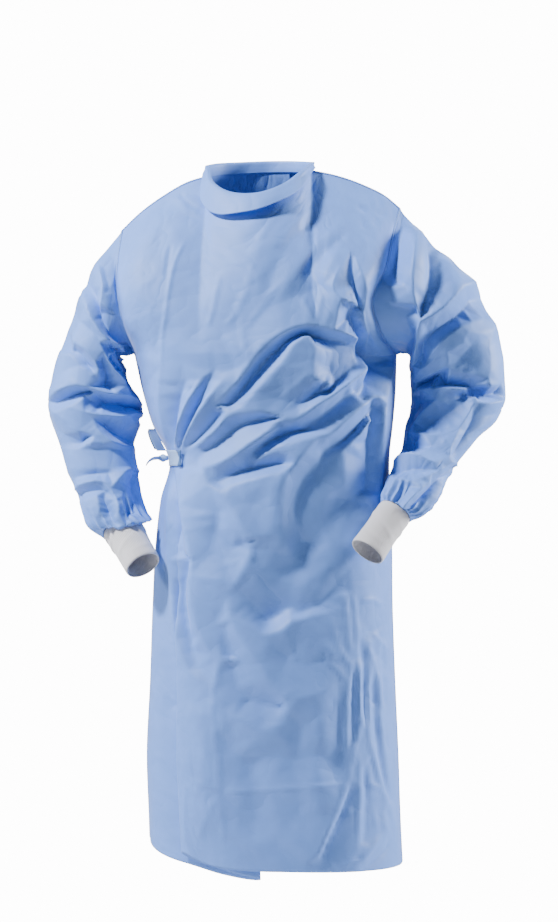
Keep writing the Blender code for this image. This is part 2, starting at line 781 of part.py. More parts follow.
def opened_seams(panel):
    """The panel's two faces, with half a seam gap taken off each edge that is sewn."""
    outer, depth = panel.grid.copy(), np.full(panel.grid.shape[:2], panel.thickness)
    edges = {
        "bottom": (np.s_[0], np.s_[1]),
        "top": (np.s_[-1], np.s_[-2]),
        "right": (np.s_[:, 0], np.s_[:, 1]),
        "left": (np.s_[:, -1], np.s_[:, -2]),
    }
    for edge in panel.seams.split():
        rim, inside = edges[edge]
        away = panel.grid[inside] - panel.grid[rim]
        away /= np.maximum(np.linalg.norm(away, axis=-1, keepdims=True), 1e-9)
        outer[rim] = outer[rim] + away * SEAM_GAP * panel.easing / 2
        depth[rim] = panel.thickness * SEAM_THINNING
    return outer, outer - panel.normals * depth[..., None]


def add_sheet(work, points, closed):
    """Adds a grid to a bmesh with its points in their places, and returns its rims."""
    rows, columns = points.shape[:2]
    spans = columns if closed else columns - 1
    made = bmesh.ops.create_grid(work, x_segments=spans, y_segments=rows - 1, size=1.0)
    row_of = {}
    for vert in made["verts"]:
        j = round((vert.co.x + 1) / 2 * spans)
        i = round((vert.co.y + 1) / 2 * (rows - 1))
        row_of[vert] = i
        vert.co = Vector(points[i, j % columns] * MM)
    if closed:
        bmesh.ops.remove_doubles(work, verts=made["verts"], dist=WELD)
    kept = {vert for vert in made["verts"] if vert.is_valid}
    rims = [edge for edge in work.edges if edge.is_boundary and edge.verts[0] in kept]
    if not closed:
        return [rims]
    low = [edge for edge in rims if row_of[edge.verts[0]] == 0]
    high = [edge for edge in rims if row_of[edge.verts[0]] != 0]
    return [low, high]


def wall(panel, collection, materials):
    """Makes a panel a closed wall of its thickness, as one object."""
    outer, inner = opened_seams(panel)
    work = bmesh.new()
    outer_rims = add_sheet(work, outer, panel.closed)
    inner_rims = add_sheet(work, inner, panel.closed)
    for outside, inside in zip(outer_rims, inner_rims):
        bmesh.ops.bridge_loops(work, edges=[*outside, *inside])
    bmesh.ops.recalc_face_normals(work, faces=work.faces[:])
    return finished(work, panel.name, panel.look, collection, materials)


def finished(work, name, look, collection, materials):
    """Turns a bmesh into a smooth object with its material, in the collection."""
    mesh = bpy.data.meshes.new(name)
    work.to_mesh(mesh)
    work.free()
    mesh.materials.append(materials[look])
    mesh.shade_smooth()
    mesh.set_sharp_from_angle(angle=SHARP)
    item = bpy.data.objects.new(name, mesh)
    collection.objects.link(item)
    return item


def skin(panel, columns, heights, lift):
    """Points of a panel at fractional columns and at heights, moved out by lift."""
    columns = np.asarray(columns, float)
    lift = np.broadcast_to(np.asarray(lift, float), columns.shape)
    low = np.minimum(columns.astype(int), panel.grid.shape[1] - 2)
    part = (columns - low)[None, :, None]
    line = panel.grid[:, low] * (1 - part) + panel.grid[:, low + 1] * part
    rows = []
    for height in heights:
        at = [
            [np.interp(height, line[:, k, 2], line[:, k, axis]) for axis in (0, 1)] + [height]
            for k in range(len(columns))
        ]
        rows.append(at)
    points = np.array(rows)
    run = np.gradient(points, axis=1)
    out = np.stack([run[..., 1], -run[..., 0], 0 * run[..., 0]], axis=-1)
    out /= np.linalg.norm(out, axis=-1, keepdims=True)
    middle_x, middle_y = points[..., 0].mean() - WAIST_MIDDLE.x, points[..., 1].mean()
    side = np.sign(out[..., 0].mean() * middle_x + out[..., 1].mean() * middle_y)
    return points + out * side * lift[None, :, None]


def ribbon(route, width_along, half_width):
    """A tape along a route of points, with its width along a direction."""
    knots = np.linspace(0, 1, len(route))
    points = np.array([(p.x, p.y, p.z) for p in route], float)
    line = curve(knots, points, np.linspace(0, 1, 3 * len(route) - 2))
    across = np.array([width_along.x, width_along.y, width_along.z], float)
    return np.array([line + across * half_width * k for k in (-1.0, 0.0, 1.0)])


def tie_heights():
    """The three levels of a tape round the waist: its edges and its middle."""
    return [TIE_LEVEL - TIE_HALF_WIDTH, TIE_LEVEL, TIE_LEVEL + TIE_HALF_WIDTH]


def tie_panels(front, under, over):
    """The waist tie: the tapes on the panels, and the ends that stand off the knot."""
    heights, on_cloth = tie_heights(), TAPE + SEAM_GAP
    tab = skin(front, [KNOT_END, 1, 2, 3, TAB_END], heights, on_cloth)
    sewn = skin(over, [2, 1, 0.2], heights, on_cloth)
    bare = [9, 8, 7, 6, 5, 4, 3, 2]
    drop = np.linspace(on_cloth + OVERLAP_STEP, on_cloth, len(bare))
    free = skin(under, bare, heights, drop)
    return [
        Panel("tie_front", tab, -1, thickness=TAPE, look="tape"),
        Panel("tie_back", np.concatenate([sewn, free], axis=1), 1, thickness=TAPE, look="tape"),
        Panel("tie_tail", ribbon(TAIL, TAIL_ACROSS, TAIL_HALF_WIDTH), 1, thickness=TAPE,
              look="tape"),
        Panel("tie_loop", ribbon(LOOP, LOOP_ACROSS, LOOP_HALF_WIDTH), 1, thickness=TAPE,
              look="tape"),
    ]


def tie_knot(front, collection, materials):
    """The knot where the two tapes meet over the side seam."""
    seat = skin(front, [0, 0.4], [TIE_LEVEL], 0)[0, 0]
    work = bmesh.new()
    bmesh.ops.create_uvsphere(work, u_segments=16, v_segments=10, radius=1.0)
    size = Vector((KNOT.x, KNOT.y, KNOT.z)) * MM
    bmesh.ops.scale(work, vec=size, verts=work.verts[:])
    centre = Vector(seat * MM) - Vector(((KNOT.x + SEAM_GAP) * MM, 0, 0))
    bmesh.ops.translate(work, vec=centre, verts=work.verts[:])
    return finished(work, "tie_knot", "tape", collection, materials)


def material(name, colour, roughness):
    """A plain material with a colour and a roughness."""
    made = bpy.data.materials.new(name)
    made.use_nodes = True
    shader = made.node_tree.nodes["Principled BSDF"]
    shader.inputs["Base Color"].default_value = colour
    shader.inputs["Roughness"].default_value = roughness
    return made


def sleeve(name, armhole_front, armhole_back, rings, end, outward):
    """A sleeve panel that ends on its cuff's first ring."""

    def cuff_ring(angle):
        return cuff_points(rings[-1], end, 0.0, angle)

    grid = sleeve_grid(armhole_front, armhole_back, rings, cuff_ring)
    return Panel(name, grid, outward, closed=True, seams="bottom top", easing=SLEEVE_EASING)


def cuff(name, last, end, outward):
    """A cuff panel that starts on its sleeve's last ring."""
    return Panel(name, cuff_grid(last, end), outward, closed=True, thickness=KNIT,
                 seams="bottom", look="knit")


def build():
    """Clears the scene and builds every piece of the gown."""
    for item in list(bpy.data.objects):
        bpy.data.objects.remove(item)
    collection = bpy.data.collections.new("procedure_gown")
    bpy.context.scene.collection.children.link(collection)
    materials = {
        "cloth": material("gown_cloth", CLOTH_COLOUR, 0.55),
        "tape": material("tie_tape", TAPE_COLOUR, 0.55),
        "knit": material("cuff_knit", KNIT_COLOUR, 0.85),
    }
    right_last, left_last = SLEEVE_RIGHT[-1], SLEEVE_LEFT[-1]
    front = Panel("front_panel", front_grid(), 1, seams="right left top")
    under_grid, over_grid = back_grids()
    under = Panel("back_panel_right", under_grid, -1, seams="right top")
    over = Panel("back_panel_left", over_grid, -1, seams="left top")
    sleeve_right = sleeve("sleeve_right", ARMHOLE_RIGHT_FRONT, ARMHOLE_RIGHT_BACK,
                          SLEEVE_RIGHT, CUFF_RIGHT_END, -1)
    sleeve_left = sleeve("sleeve_left", ARMHOLE_LEFT_FRONT, ARMHOLE_LEFT_BACK,
                         SLEEVE_LEFT, CUFF_LEFT_END, 1)
    cuff_right = cuff("cuff_right", SLEEVE_RIGHT[-1], CUFF_RIGHT_END, -1)
    cuff_left = cuff("cuff_left", SLEEVE_LEFT[-1], CUFF_LEFT_END, 1)
    binding = Panel("neck_binding", binding_grid(), 1, closed=True)

    front.fold(BODY_FOLDS, -1)
    sleeve_right.fold(SLEEVE_RIGHT_FOLDS, -1)
    sleeve_right.fold(behind(SLEEVE_RIGHT_FOLDS), 1)
    sleeve_left.fold(SLEEVE_LEFT_FOLDS, -1)
    sleeve_left.fold(behind(SLEEVE_LEFT_FOLDS), 1)
    sewn = [front, under, over, sleeve_right, sleeve_left, cuff_right, cuff_left]
    share_seam_normals(sewn)
    for panel in [*sewn, binding, *tie_panels(front, under, over)]:
        wall(panel, collection, materials)
    tie_knot(front, collection, materials)


build()
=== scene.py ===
"""Dresses the procedure gown: thin cloth shells, knit cuffs, ties, seams and a studio.

The frame gives the gown's solids in metres, with the front facing -Y and the wearer's
left at +X. The tables of the cut below are in millimetres. Folds are placed where the
photograph shows them, so their paths are in its pixels and their sizes in millimetres.
"""

import logging
import math
from dataclasses import dataclass, replace
from enum import Enum
from typing import NamedTuple, Optional, Sequence

import bmesh
import bpy
import numpy as np
from mathutils import Matrix, Vector
from mathutils.geometry import delaunay_2d_cdt


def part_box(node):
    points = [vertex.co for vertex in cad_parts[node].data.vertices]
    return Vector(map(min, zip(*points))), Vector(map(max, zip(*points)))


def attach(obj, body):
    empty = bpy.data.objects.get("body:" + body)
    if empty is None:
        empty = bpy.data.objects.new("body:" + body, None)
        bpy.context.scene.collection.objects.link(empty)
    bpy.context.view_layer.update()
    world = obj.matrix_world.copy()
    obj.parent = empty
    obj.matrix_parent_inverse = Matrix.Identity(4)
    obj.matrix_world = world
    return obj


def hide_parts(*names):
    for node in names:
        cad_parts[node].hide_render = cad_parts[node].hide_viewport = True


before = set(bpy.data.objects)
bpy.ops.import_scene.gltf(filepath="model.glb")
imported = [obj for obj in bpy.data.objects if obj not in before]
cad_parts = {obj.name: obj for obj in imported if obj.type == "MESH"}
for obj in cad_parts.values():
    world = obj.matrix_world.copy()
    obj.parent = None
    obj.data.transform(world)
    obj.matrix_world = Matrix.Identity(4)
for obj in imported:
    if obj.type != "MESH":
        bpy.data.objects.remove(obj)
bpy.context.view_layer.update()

MM = 0.001
WELD = 0.00001
UV_NAME = "UVMap"
ROOT = "root"
LOG = logging.getLogger("procedure_gown")
Colour = tuple[float, float, float, float]


class Facing(Enum):
    """The side of the gown that a set of folds lies on."""

    FRONT = -1.0
    BACK = 1.0


class Slot(Enum):
    """The record's material slots."""

    CLOTH = "gown_cloth"
    KNIT = "cuff_knit"
    TAPE = "tie_tape"


class Point(NamedTuple):
    """A point of the cut, in millimetres."""

    x: float
    y: float
    z: float


class Section(NamedTuple):
    """A horizontal section of the body: where its sides, front and back lie."""

    height: float
    right: float
    left: float
    front: float
    back: float


class Level(NamedTuple):
    """A value at a share of the way across a panel."""

    share: float
    value: float


class Lap(NamedTuple):
    """Where a column of the front lies at the hem, and how deep under the lap."""

    share: float
    turn: float
    depth: float


class Edge(NamedTuple):
    """Column shares of the back at a height, from the wearer's right."""

    height: float
    right_neck: float
    over: float
    under: float
    left_neck: float


class Ring(NamedTuple):
    """A sleeve section: its outer and inner points, the middle's depth and half depth."""

    outer_x: float
    outer_z: float
    inner_x: float
    inner_z: float
    middle_y: float
    half_depth: float


class Mouth(NamedTuple):
    """The open end of a cuff."""

    x: float
    y: float
    z: float
    half_width: float
    half_depth: float


class Bind(NamedTuple):
    """The neck binding at a share of the neckline: its rise, reach and drop."""

    share: float
    rise: float
    out: float
    drop: float


# The body's levels, and where the neckline starts and ends across the panels
ARMPIT = -268.0
TIE_LEVEL = -423.0
SQUARENESS = 2.35
SIDE_REACH = 0.52
FRONT_BULGE = -15.0
BACK_BULGE = 14.0
FRONT_NECK = (0.35, 0.62)
BACK_NECK = (0.35, 0.65)
OVERLAP_STEP = 4.0
OVERLAP_END = 0.86
OVERLAP_EASE = 0.12
LAP_TOP_EASE = 30.0
CROWN_POWER = 0.6
# How strongly a point that faces the camera, or away from it, takes the folds there
FACING_GAIN = 1.6

BODY = [
    Section(-1060, -166, 212, -138, 152),
    Section(-960, -169, 207, -142, 150),
    Section(-870, -172, 204, -146, 147),
    Section(-756, -167, 199, -150, 143),
    Section(-640, -163, 195, -154, 138),
    Section(-546, -158, 194, -156, 133),
    Section(-486, -151, 192, -156, 128),
    Section(-423, -138, 190, -152, 122),
    Section(-375, -162, 195, -150, 121),
    Section(-330, -176, 199, -149, 121),
    Section(-268, -190, 201, -147, 122),
]
ARMHOLE_RIGHT_FRONT = [
    Point(-210, 5, -82),
    Point(-215, -34, -125),
    Point(-217, -56, -170),
    Point(-207, -54, -222),
    Point(-190, -12.5, -268),
]
ARMHOLE_RIGHT_BACK = [
    Point(-210, 5, -82),
    Point(-214, 44, -125),
    Point(-213, 66, -172),
    Point(-204, 52, -222),
    Point(-190, -12.5, -268),
]
ARMHOLE_LEFT_FRONT = [
    Point(207, 5, -49),
    Point(193, -42, -100),
    Point(184, -72, -140),
    Point(164, -92, -188),
    Point(177, -72, -234),
    Point(201, -12.5, -268),
]
ARMHOLE_LEFT_BACK = [
    Point(207, 5, -49),
    Point(209, 46, -108),
    Point(208, 70, -160),
    Point(205, 56, -220),
    Point(201, -12.5, -268),
]
NECK_FRONT = [
    Point(-80, 3, 0),
    Point(-72, -34, -27),
    Point(-44, -62, -43),
    Point(-8, -74, -43),
    Point(28, -67, -29),
    Point(56, -40, -8),
    Point(74, 3, 8),
]
NECK_BACK = [
    Point(-80, 3, 0),
    Point(-63, 36, 5),
    Point(-30, 55, 8),
    Point(8, 58, 10),
    Point(46, 42, 10),
    Point(74, 3, 8),
]
SHOULDER_RIGHT = [
    Point(-210, 5, -82),
    Point(-183, 5, -56),
    Point(-146, 5, -29),
    Point(-110, 4, -9),
    Point(-80, 3, 0),
]
SHOULDER_LEFT = [
    Point(207, 5, -49),
    Point(184, 5, -30),
    Point(152, 5, -14),
    Point(112, 4, 0),
    Point(74, 3, 8),
]
FRONT_HEM = [
    Level(0.00, -992),
    Level(0.06, -1010),
    Level(0.14, -1028),
    Level(0.26, -1050),
    Level(0.36, -1030),
    Level(0.43, -1010),
    Level(0.53, -1030),
    Level(0.68, -1038),
    Level(0.82, -1037),
    Level(1.00, -1029),
]
BACK_HEM = [Level(0.0, -992), Level(0.3, -1024), Level(0.7, -1034), Level(1.0, -1029)]
LAP = [
    Lap(0.000, 180, 0),
    Lap(0.045, 196, 0),
    Lap(0.090, 210, 5),
    Lap(0.135, 225, 12),
    Lap(0.180, 241, 12),
    Lap(0.225, 256, 12),
    Lap(0.255, 263, 11),
    Lap(0.285, 264, 8),
    Lap(0.315, 256, 6),
    Lap(0.360, 243, 6),
    Lap(0.400, 228, 5),
    Lap(0.430, 224, 2),
    Lap(0.460, 228, 0),
    Lap(0.520, 242, 0),
    Lap(0.620, 265, 0),
    Lap(0.800, 310, 0),
    Lap(1.000, 360, 0),
]
PLAIN = [Level(0.0, 180), Level(0.35, 243), Level(0.62, 291), Level(1.0, 360)]
# The same columns at the tie, which draws the lap's edge over to the wearer's right
DRAWN = [
    Level(0.000, 180),
    Level(0.100, 190),
    Level(0.255, 207),
    Level(0.430, 219),
    Level(0.520, 243),
    Level(0.620, 270),
    Level(0.800, 314),
    Level(1.000, 360),
]
BACK_EDGES = [
    Edge(20, 0.350, 0.43, 0.57, 0.65),
    Edge(-150, 0.320, 0.38, 0.60, 0.66),
    Edge(-268, 0.255, 0.30, 0.62, 0.68),
    Edge(-423, 0.130, 0.16, 0.66, 0.70),
    Edge(-700, 0.125, 0.15, 0.68, 0.72),
    Edge(-1060, 0.125, 0.15, 0.70, 0.74),
]
SLEEVE_RIGHT = [
    Ring(-250, -134, -210, -274, 4, 69),
    Ring(-282, -206, -198, -294, 12, 72),
    Ring(-301, -254, -194, -311, 18, 71),
    Ring(-315, -300, -188, -330, 22, 68),
    Ring(-319, -337, -181, -352, 22, 64),
    Ring(-312, -374, -184, -374, 16, 60),
    Ring(-301, -412, -190, -412, 6, 55),
    Ring(-290, -448, -184, -446, -6, 52),
    Ring(-275, -480, -177, -477, -18, 49),
    Ring(-263, -508, -171, -503, -30, 46),
    Ring(-249, -532, -171, -516, -38, 41),
    Ring(-235, -545, -183, -512, -42, 31),
]
SLEEVE_LEFT = [
    Ring(240, -86, 218, -270, -4, 80),
    Ring(279, -124, 220, -287, 2, 81),
    Ring(312, -158, 224, -297, 8, 79),
    Ring(330, -190, 225, -309, 14, 76),
    Ring(348, -228, 227, -322, 18, 73),
    Ring(358, -260, 226, -336, 18, 70),
    Ring(363, -296, 221, -352, 14, 67),
    Ring(361, -334, 214, -370, 4, 63),
    Ring(350, -368, 211, -386, -12, 59),
    Ring(323, -394, 208, -404, -34, 54),
    Ring(296, -428, 203, -422, -60, 49),
    Ring(272, -463, 195, -444, -84, 45),
    Ring(254, -490, 188, -466, -104, 41),
    Ring(236, -508, 181, -480, -118, 36),
    Ring(218, -520, 178, -486, -125, 27),
]
CUFF_RIGHT_END = Mouth(-177, -84, -583, 27, 26)
CUFF_LEFT_END = Mouth(156, -158, -562, 27, 26)
BINDING = [
    Bind(0.00, 15, 9, 3),
    Bind(0.06, 15, 17, -9),
    Bind(0.13, 16, 21, -19),
    Bind(0.22, 15, 21, -12),
    Bind(0.30, 13, 19, -7),
    Bind(0.38, 12, 13, -5),
    Bind(0.44, 12, 8, 1),
    Bind(0.50, 12, 6, 4),
    Bind(0.65, 13, 7, 3),
    Bind(0.85, 14, 7, 3),
    Bind(1.00, 15, 9, 3),
]
TAIL = [
    Point(-153.0, -14, -423),
    Point(-162, -15, -424),
    Point(-168, -17, -427),
    Point(-173, -18, -433),
]
LOOP = [
    Point(-150.5, -15, -412.4),
    Point(-158, -18, -398),
    Point(-162, -17, -386),
    Point(-163, -12, -380),
    Point(-164, -6, -386),
    Point(-160, -3, -398),
    Point(-154, -5, -410),
]


@dataclass(frozen=True)
class Portrait:
    """The photograph's frame and how far its camera stands from the gown.

    Args:
        width, height: the frame in pixels.
        pixel: what a pixel measures in the plane y = 0, in millimetres.
        origin_x, origin_y: the pixel in front of the gown's origin.
        distance: from the camera to that plane, in millimetres.
    """

    width: int = 558
    height: int = 922
    pixel: float = 1.5
    origin_x: float = 262.0
    origin_y: float = 176.0
    distance: float = 12000.0

    def middle(self) -> tuple[float, float]:
        """Returns the x and z that the camera looks at, in millimetres."""
        x = (self.width / 2 - self.origin_x) * self.pixel
        z = (self.origin_y - self.height / 2) * self.pixel
        return x, z

    def plane(self, points: np.ndarray) -> np.ndarray:
        """Projects points on the plane y = 0 as the camera sees them.

        Args:
            points: points in millimetres, one in each row.

        Returns:
            Their x and z in that plane, in millimetres.
        """
        x, z = self.middle()
        nearer = self.distance / (self.distance + points[:, 1])
        return np.stack([x + (points[:, 0] - x) * nearer, z + (points[:, 2] - z) * nearer], 1)

    def place(self, pixels: Sequence[tuple[float, float]]) -> np.ndarray:
        """Returns pixels as x and z in the plane y = 0, in millimetres."""
        spots = np.asarray(pixels, float)
        return np.stack(
            [(spots[:, 0] - self.origin_x) * self.pixel, (self.origin_y - spots[:, 1]) * self.pixel], 1
        )


PORTRAIT = Portrait()


@dataclass(frozen=True)
class Fold:
    """A ridge or a trough of the cloth.

    Args:
        path: its line in pixels of the photograph, going right or up.
        left, right: how far it reaches to each side of the line, seen along it.
        depth: its height, or a negative depth for a trough.
        crisp: 0 for a round crest and 1 for a sharp one.
        start, end: the shares of its length over which it rises and dies out.
    """

    path: tuple[tuple[float, float], ...]
    left: float
    right: float
    depth: float
    crisp: float = 0.5
    start: float = 0.25
    end: float = 0.25


def crease(path: tuple[tuple[float, float], ...], depth: float, reach: float = 4.0) -> Fold:
    """Returns a thin sharp crease, as packing leaves in the cloth."""
    return Fold(path, reach, reach, depth, 1.0, 0.15, 0.15)


@dataclass(frozen=True)
class Crease:
    """A ridge or a trough where two flat facets of the stiff cloth meet.

    Args:
        knots: its points, as pixels right and down in the photograph and the lift there
            in millimetres, which is negative in a trough.
        share: what its lifts are multiplied by.
    """

    knots: tuple[tuple[float, float, float], ...]
    share: float = 1.0

    def points(self) -> np.ndarray:
        """Returns x, z and lift at the knots and halfway between them."""
        rows = np.asarray(self.knots, float) * (1.0, 1.0, self.share)
        rows = np.concatenate([PORTRAIT.place(rows[:, :2]), rows[:, 2:]], axis=1)
        return curve(np.arange(len(rows)), rows, np.linspace(0, len(rows) - 1, 2 * len(rows) - 1))


@dataclass(frozen=True)
class Facets:
    """Flat facets that span between creases and a loose net of resting points.

    Args:
        creases: the creases.
        spacing: the distance between resting points, in millimetres.
        clear, flank: how far they keep from a crease, and how much farther for each
            millimetre of its lift.
        loose: how far they lie off the cloth's mean surface.
        strength: what every lift is multiplied by.
        seed: what their random places start from.
        margin: how far the net reaches past the outermost creases.
        shake: how far a resting point strays, as a share of the spacing.
        finer: how many points a crease's own distance is measured from, for each of its own.
        near: the distance at which two points are one.
        slack: how far past a facet's edge a place may lie, as a share of the facet.
    """

    creases: Sequence[Crease]
    spacing: float
    clear: float
    flank: float
    loose: float
    strength: float
    seed: int
    margin: float = 80.0
    shake: float = 0.38
    finer: int = 4
    near: float = 0.01
    slack: float = 1e-6

    def net(self) -> tuple[np.ndarray, list[tuple[int, int]]]:
        """Returns every crease's and resting point as x, z and lift, and the creases' edges."""
        lines = [line.points() for line in self.creases]
        edges, start = [], 0
        for line in lines:
            edges += [(start + k, start + k + 1) for k in range(len(line) - 1)]
            start += len(line)
        taken = np.concatenate(lines)
        low, high = taken[:, :2].min(0) - self.margin, taken[:, :2].max(0) + self.margin
        chance = np.random.default_rng(self.seed)
        across = np.arange(low[0], high[0], self.spacing)
        up = np.arange(low[1], high[1], self.spacing)
        spots = np.stack(np.meshgrid(across, up), -1).reshape(-1, 2)
        spots = spots + chance.uniform(-self.shake, self.shake, spots.shape) * self.spacing
        rest = np.column_stack([spots, chance.uniform(-self.loose, self.loose, len(spots))])
        fine = np.concatenate([
            curve(np.arange(len(line)), line, np.linspace(0, len(line) - 1, self.finer * len(line)))
            for line in lines
        ])
        kept = self.clear + self.flank * np.abs(fine[:, 2])
        gap = np.array([(np.linalg.norm(fine[:, :2] - spot, axis=1) - kept).min() for spot in spots])
        return np.concatenate([taken, rest[gap > 0]]), edges

    def lift(self, places: np.ndarray) -> np.ndarray:
        """Returns how far the facets lift each place."""
        points, edges = self.net()
        spots, _, faces, origins, _, _ = delaunay_2d_cdt(
            [Vector(p) for p in points[:, :2]], edges, [], 0, self.near
        )
        spots = np.array([tuple(spot) for spot in spots])
        heights = np.zeros(len(spots))
        for k, origin in enumerate(origins):
            near = origin or np.linalg.norm(points[:, :2] - spots[k], axis=1).argsort()[:3]
            heights[k] = points[near, 2].mean()
        lift = np.zeros(len(places))
        for face in faces:
            corner, height = spots[list(face)], heights[list(face)]
            low, high = corner.min(0), corner.max(0)
            inside = np.flatnonzero(((places >= low) & (places <= high)).all(1))
            sides = np.stack([corner[1] - corner[0], corner[2] - corner[0]], 1)
            if not len(inside) or abs(np.linalg.det(sides)) < self.slack:
                continue
            share = (places[inside] - corner[0]) @ np.linalg.inv(sides).T
            held = (share >= -self.slack).all(1) & (share.sum(1) <= 1 + self.slack)
            value = height[0] + share @ (height[1:] - height[0])
            lift[inside[held]] = value[held]
        return lift


@dataclass(frozen=True)
class Crumple:
    """A patch of small creases with a common lean.

    Args:
        x, y: its middle, in pixels of the photograph.
        spread_x, spread_y: how far it spreads, in pixels.
        count: how many creases it has.
        length: their length in pixels.
        lean, turn: their angle from the level and how much it varies, in degrees.
        depth: their largest depth in millimetres.
        seed: what the random places start from.

    The shares that follow the fields say how half a crease's length, its bend, its depth and
    its far side's reach vary, and the reach is in millimetres.
    """

    x: float
    y: float
    spread_x: float
    spread_y: float
    count: int
    length: float
    lean: float
    turn: float
    depth: float
    seed: int

    half_shares = (0.3, 0.75)
    bend_shares = (-0.3, 0.3)
    depth_shares = (0.35, 1.0)
    reaches = (4.5, 9.0)
    far_shares = (0.6, 1.5)
    crisp = 0.9

    def folds(self) -> list[Fold]:
        """Returns the patch's creases as folds."""
        chance = np.random.default_rng(self.seed)
        made = []
        for _ in range(self.count):
            x, y = chance.normal(0, 0.5, 2) * (self.spread_x, self.spread_y)
            angle = math.radians(self.lean + chance.normal(0, self.turn))
            half = self.length * chance.uniform(*self.half_shares) / 2
            run = np.array([math.cos(angle), -math.sin(angle)]) * half
            bend = np.array([run[1], -run[0]]) * chance.uniform(*self.bend_shares)
            middle = np.array([self.x + x, self.y + y])
            path = tuple(tuple(p) for p in (middle - run, middle + bend, middle + run))
            depth = self.depth * chance.uniform(*self.depth_shares) * chance.choice([-1.0, 1.0])
            reach = chance.uniform(*self.reaches)
            made.append(Fold(path, reach, reach * chance.uniform(*self.far_shares), depth, self.crisp))
        return made


@dataclass(frozen=True)
class Rumple:
    """Shallow crossing creases all over a cloth, uneven in length, depth and spacing.

    Args:
        spacing: the mean distance between creases, in millimetres.
        lean: their angle from the level, in degrees.
        depth: their largest depth in millimetres.
        patch: the size of the patches over which they come and go, in millimetres.
        seed: what the random values start from.
        bend_length, bend: over how many spacings the creases bend, and by how many.
        present, varied: how strong they are in the mean, and how much that varies.
    """

    spacing: float
    lean: float
    depth: float
    patch: float
    seed: int
    bend_length: float = 2.2
    bend: float = 0.75
    present: float = 0.35
    varied: float = 0.9

    def lift(self, places: np.ndarray) -> np.ndarray:
        """Returns how far the creases lift each place."""
        angle = math.radians(self.lean)
        run = places @ np.array([-math.sin(angle), math.cos(angle)])
        bent = cloud(places, self.spacing * self.bend_length, self.seed)
        phase = run / self.spacing + self.bend * bent
        share = phase - np.floor(phase)
        wave = 1 - 4 * np.abs(share - 0.5)
        strong = eased(self.present + self.varied * cloud(places, self.patch, self.seed + 1))
        return self.depth * wave * strong


def cloud(places: np.ndarray, size: float, seed: int) -> np.ndarray:
    """Returns a slow random value from -1 to 1 at each place.

    Args:
        places: x and z in millimetres.
        size: the distance over which the value changes.
        seed: what the random values start from.
    """
    cells = 64
    table = np.random.default_rng(seed).uniform(-1, 1, (cells, cells))
    spot = places / size
    cell = np.floor(spot).astype(int)
    part = eased(spot - cell)
    i, j = cell[:, 0] % cells, cell[:, 1] % cells
    i2, j2 = (i + 1) % cells, (j + 1) % cells
    low = table[i, j] * (1 - part[:, 0]) + table[i2, j] * part[:, 0]
    high = table[i, j2] * (1 - part[:, 0]) + table[i2, j2] * part[:, 0]
    return low * (1 - part[:, 1]) + high * part[:, 1]


BODY_RUMPLES = [
    Rumple(52, 62, 0.32, 110, 101),
    Rumple(38, -28, 0.26, 90, 103),
]
SLEEVE_RUMPLES = [
    Rumple(36, 30, 0.4, 70, 121),
    Rumple(28, -35, 0.35, 60, 123),
]
# Broad soft forms of the front
FRONT_FOLDS = [
    Fold(((268, 600), (300, 560), (330, 520), (352, 470)), 40, 50, -9, 0.1),
    Fold(((205, 850), (203, 760), (206, 660)), 40, 44, 5, 0.1),
    Fold(((258, 850), (255, 790), (250, 745)), 34, 34, -5, 0.1),
    Fold(((322, 850), (318, 760), (322, 690)), 34, 34, 6, 0.1),
    Fold(((262, 302), (272, 276), (284, 252), (304, 228), (338, 207)), 17, 20, -3.4, 0.5),
    Fold(((278, 304), (294, 272), (320, 242), (348, 222)), 15, 15, 2.4, 0.5),
    Fold(((303, 284), (318, 262), (336, 242), (352, 226)), 12, 12, -2.2, 0.5),
    Fold(((322, 288), (330, 268), (346, 244)), 12, 12, 1.8, 0.5),
]
# Thin creases of the chest and the skirt
THIN_CREASES = [
    Crease((
        (187, 238, 0), (178, 254, 2.5), (172, 272, 3), (167, 300, 2), (162, 340, 2), (161, 372, 1),
    )),
    Crease(((171, 244, 0), (168, 260, -2.5), (166, 278, -0.5))),
    Crease(((207, 328, 0), (212, 312, 1.6), (216, 292, 1.6), (220, 272, 0))),
    Crease(((224, 326, 0), (234, 316, 1.4), (243, 298, 1.6), (248, 284, 1.6), (256, 256, 0))),
    Crease(((243, 330, 0), (255, 316, 1.4), (268, 298, 1.4), (281, 280, 0))),
    Crease(((249, 357, 0), (243, 340, 1.4), (242, 318, 0))),
    Crease(((259, 240, 0), (264, 232, 1.2), (268, 224, 0))),
    Crease(((179, 193, -3), (189, 204, -5), (205, 212, -3))),
    Crease(((314, 320, 0), (306, 306, 1.2), (303, 298, 0))),
    Crease(((259, 720, 1), (272, 707, 2), (285, 697, 2), (297, 686, 1))),
    Crease(((288, 635, 1), (292, 652, 3), (297, 664, 1))),
    Crease(((250, 668, -3), (257, 664, -6), (263, 661, 0))),
    Crease(((228, 594, 2), (242, 573, 4.5), (250, 556, 4), (254, 548, 2))),
]
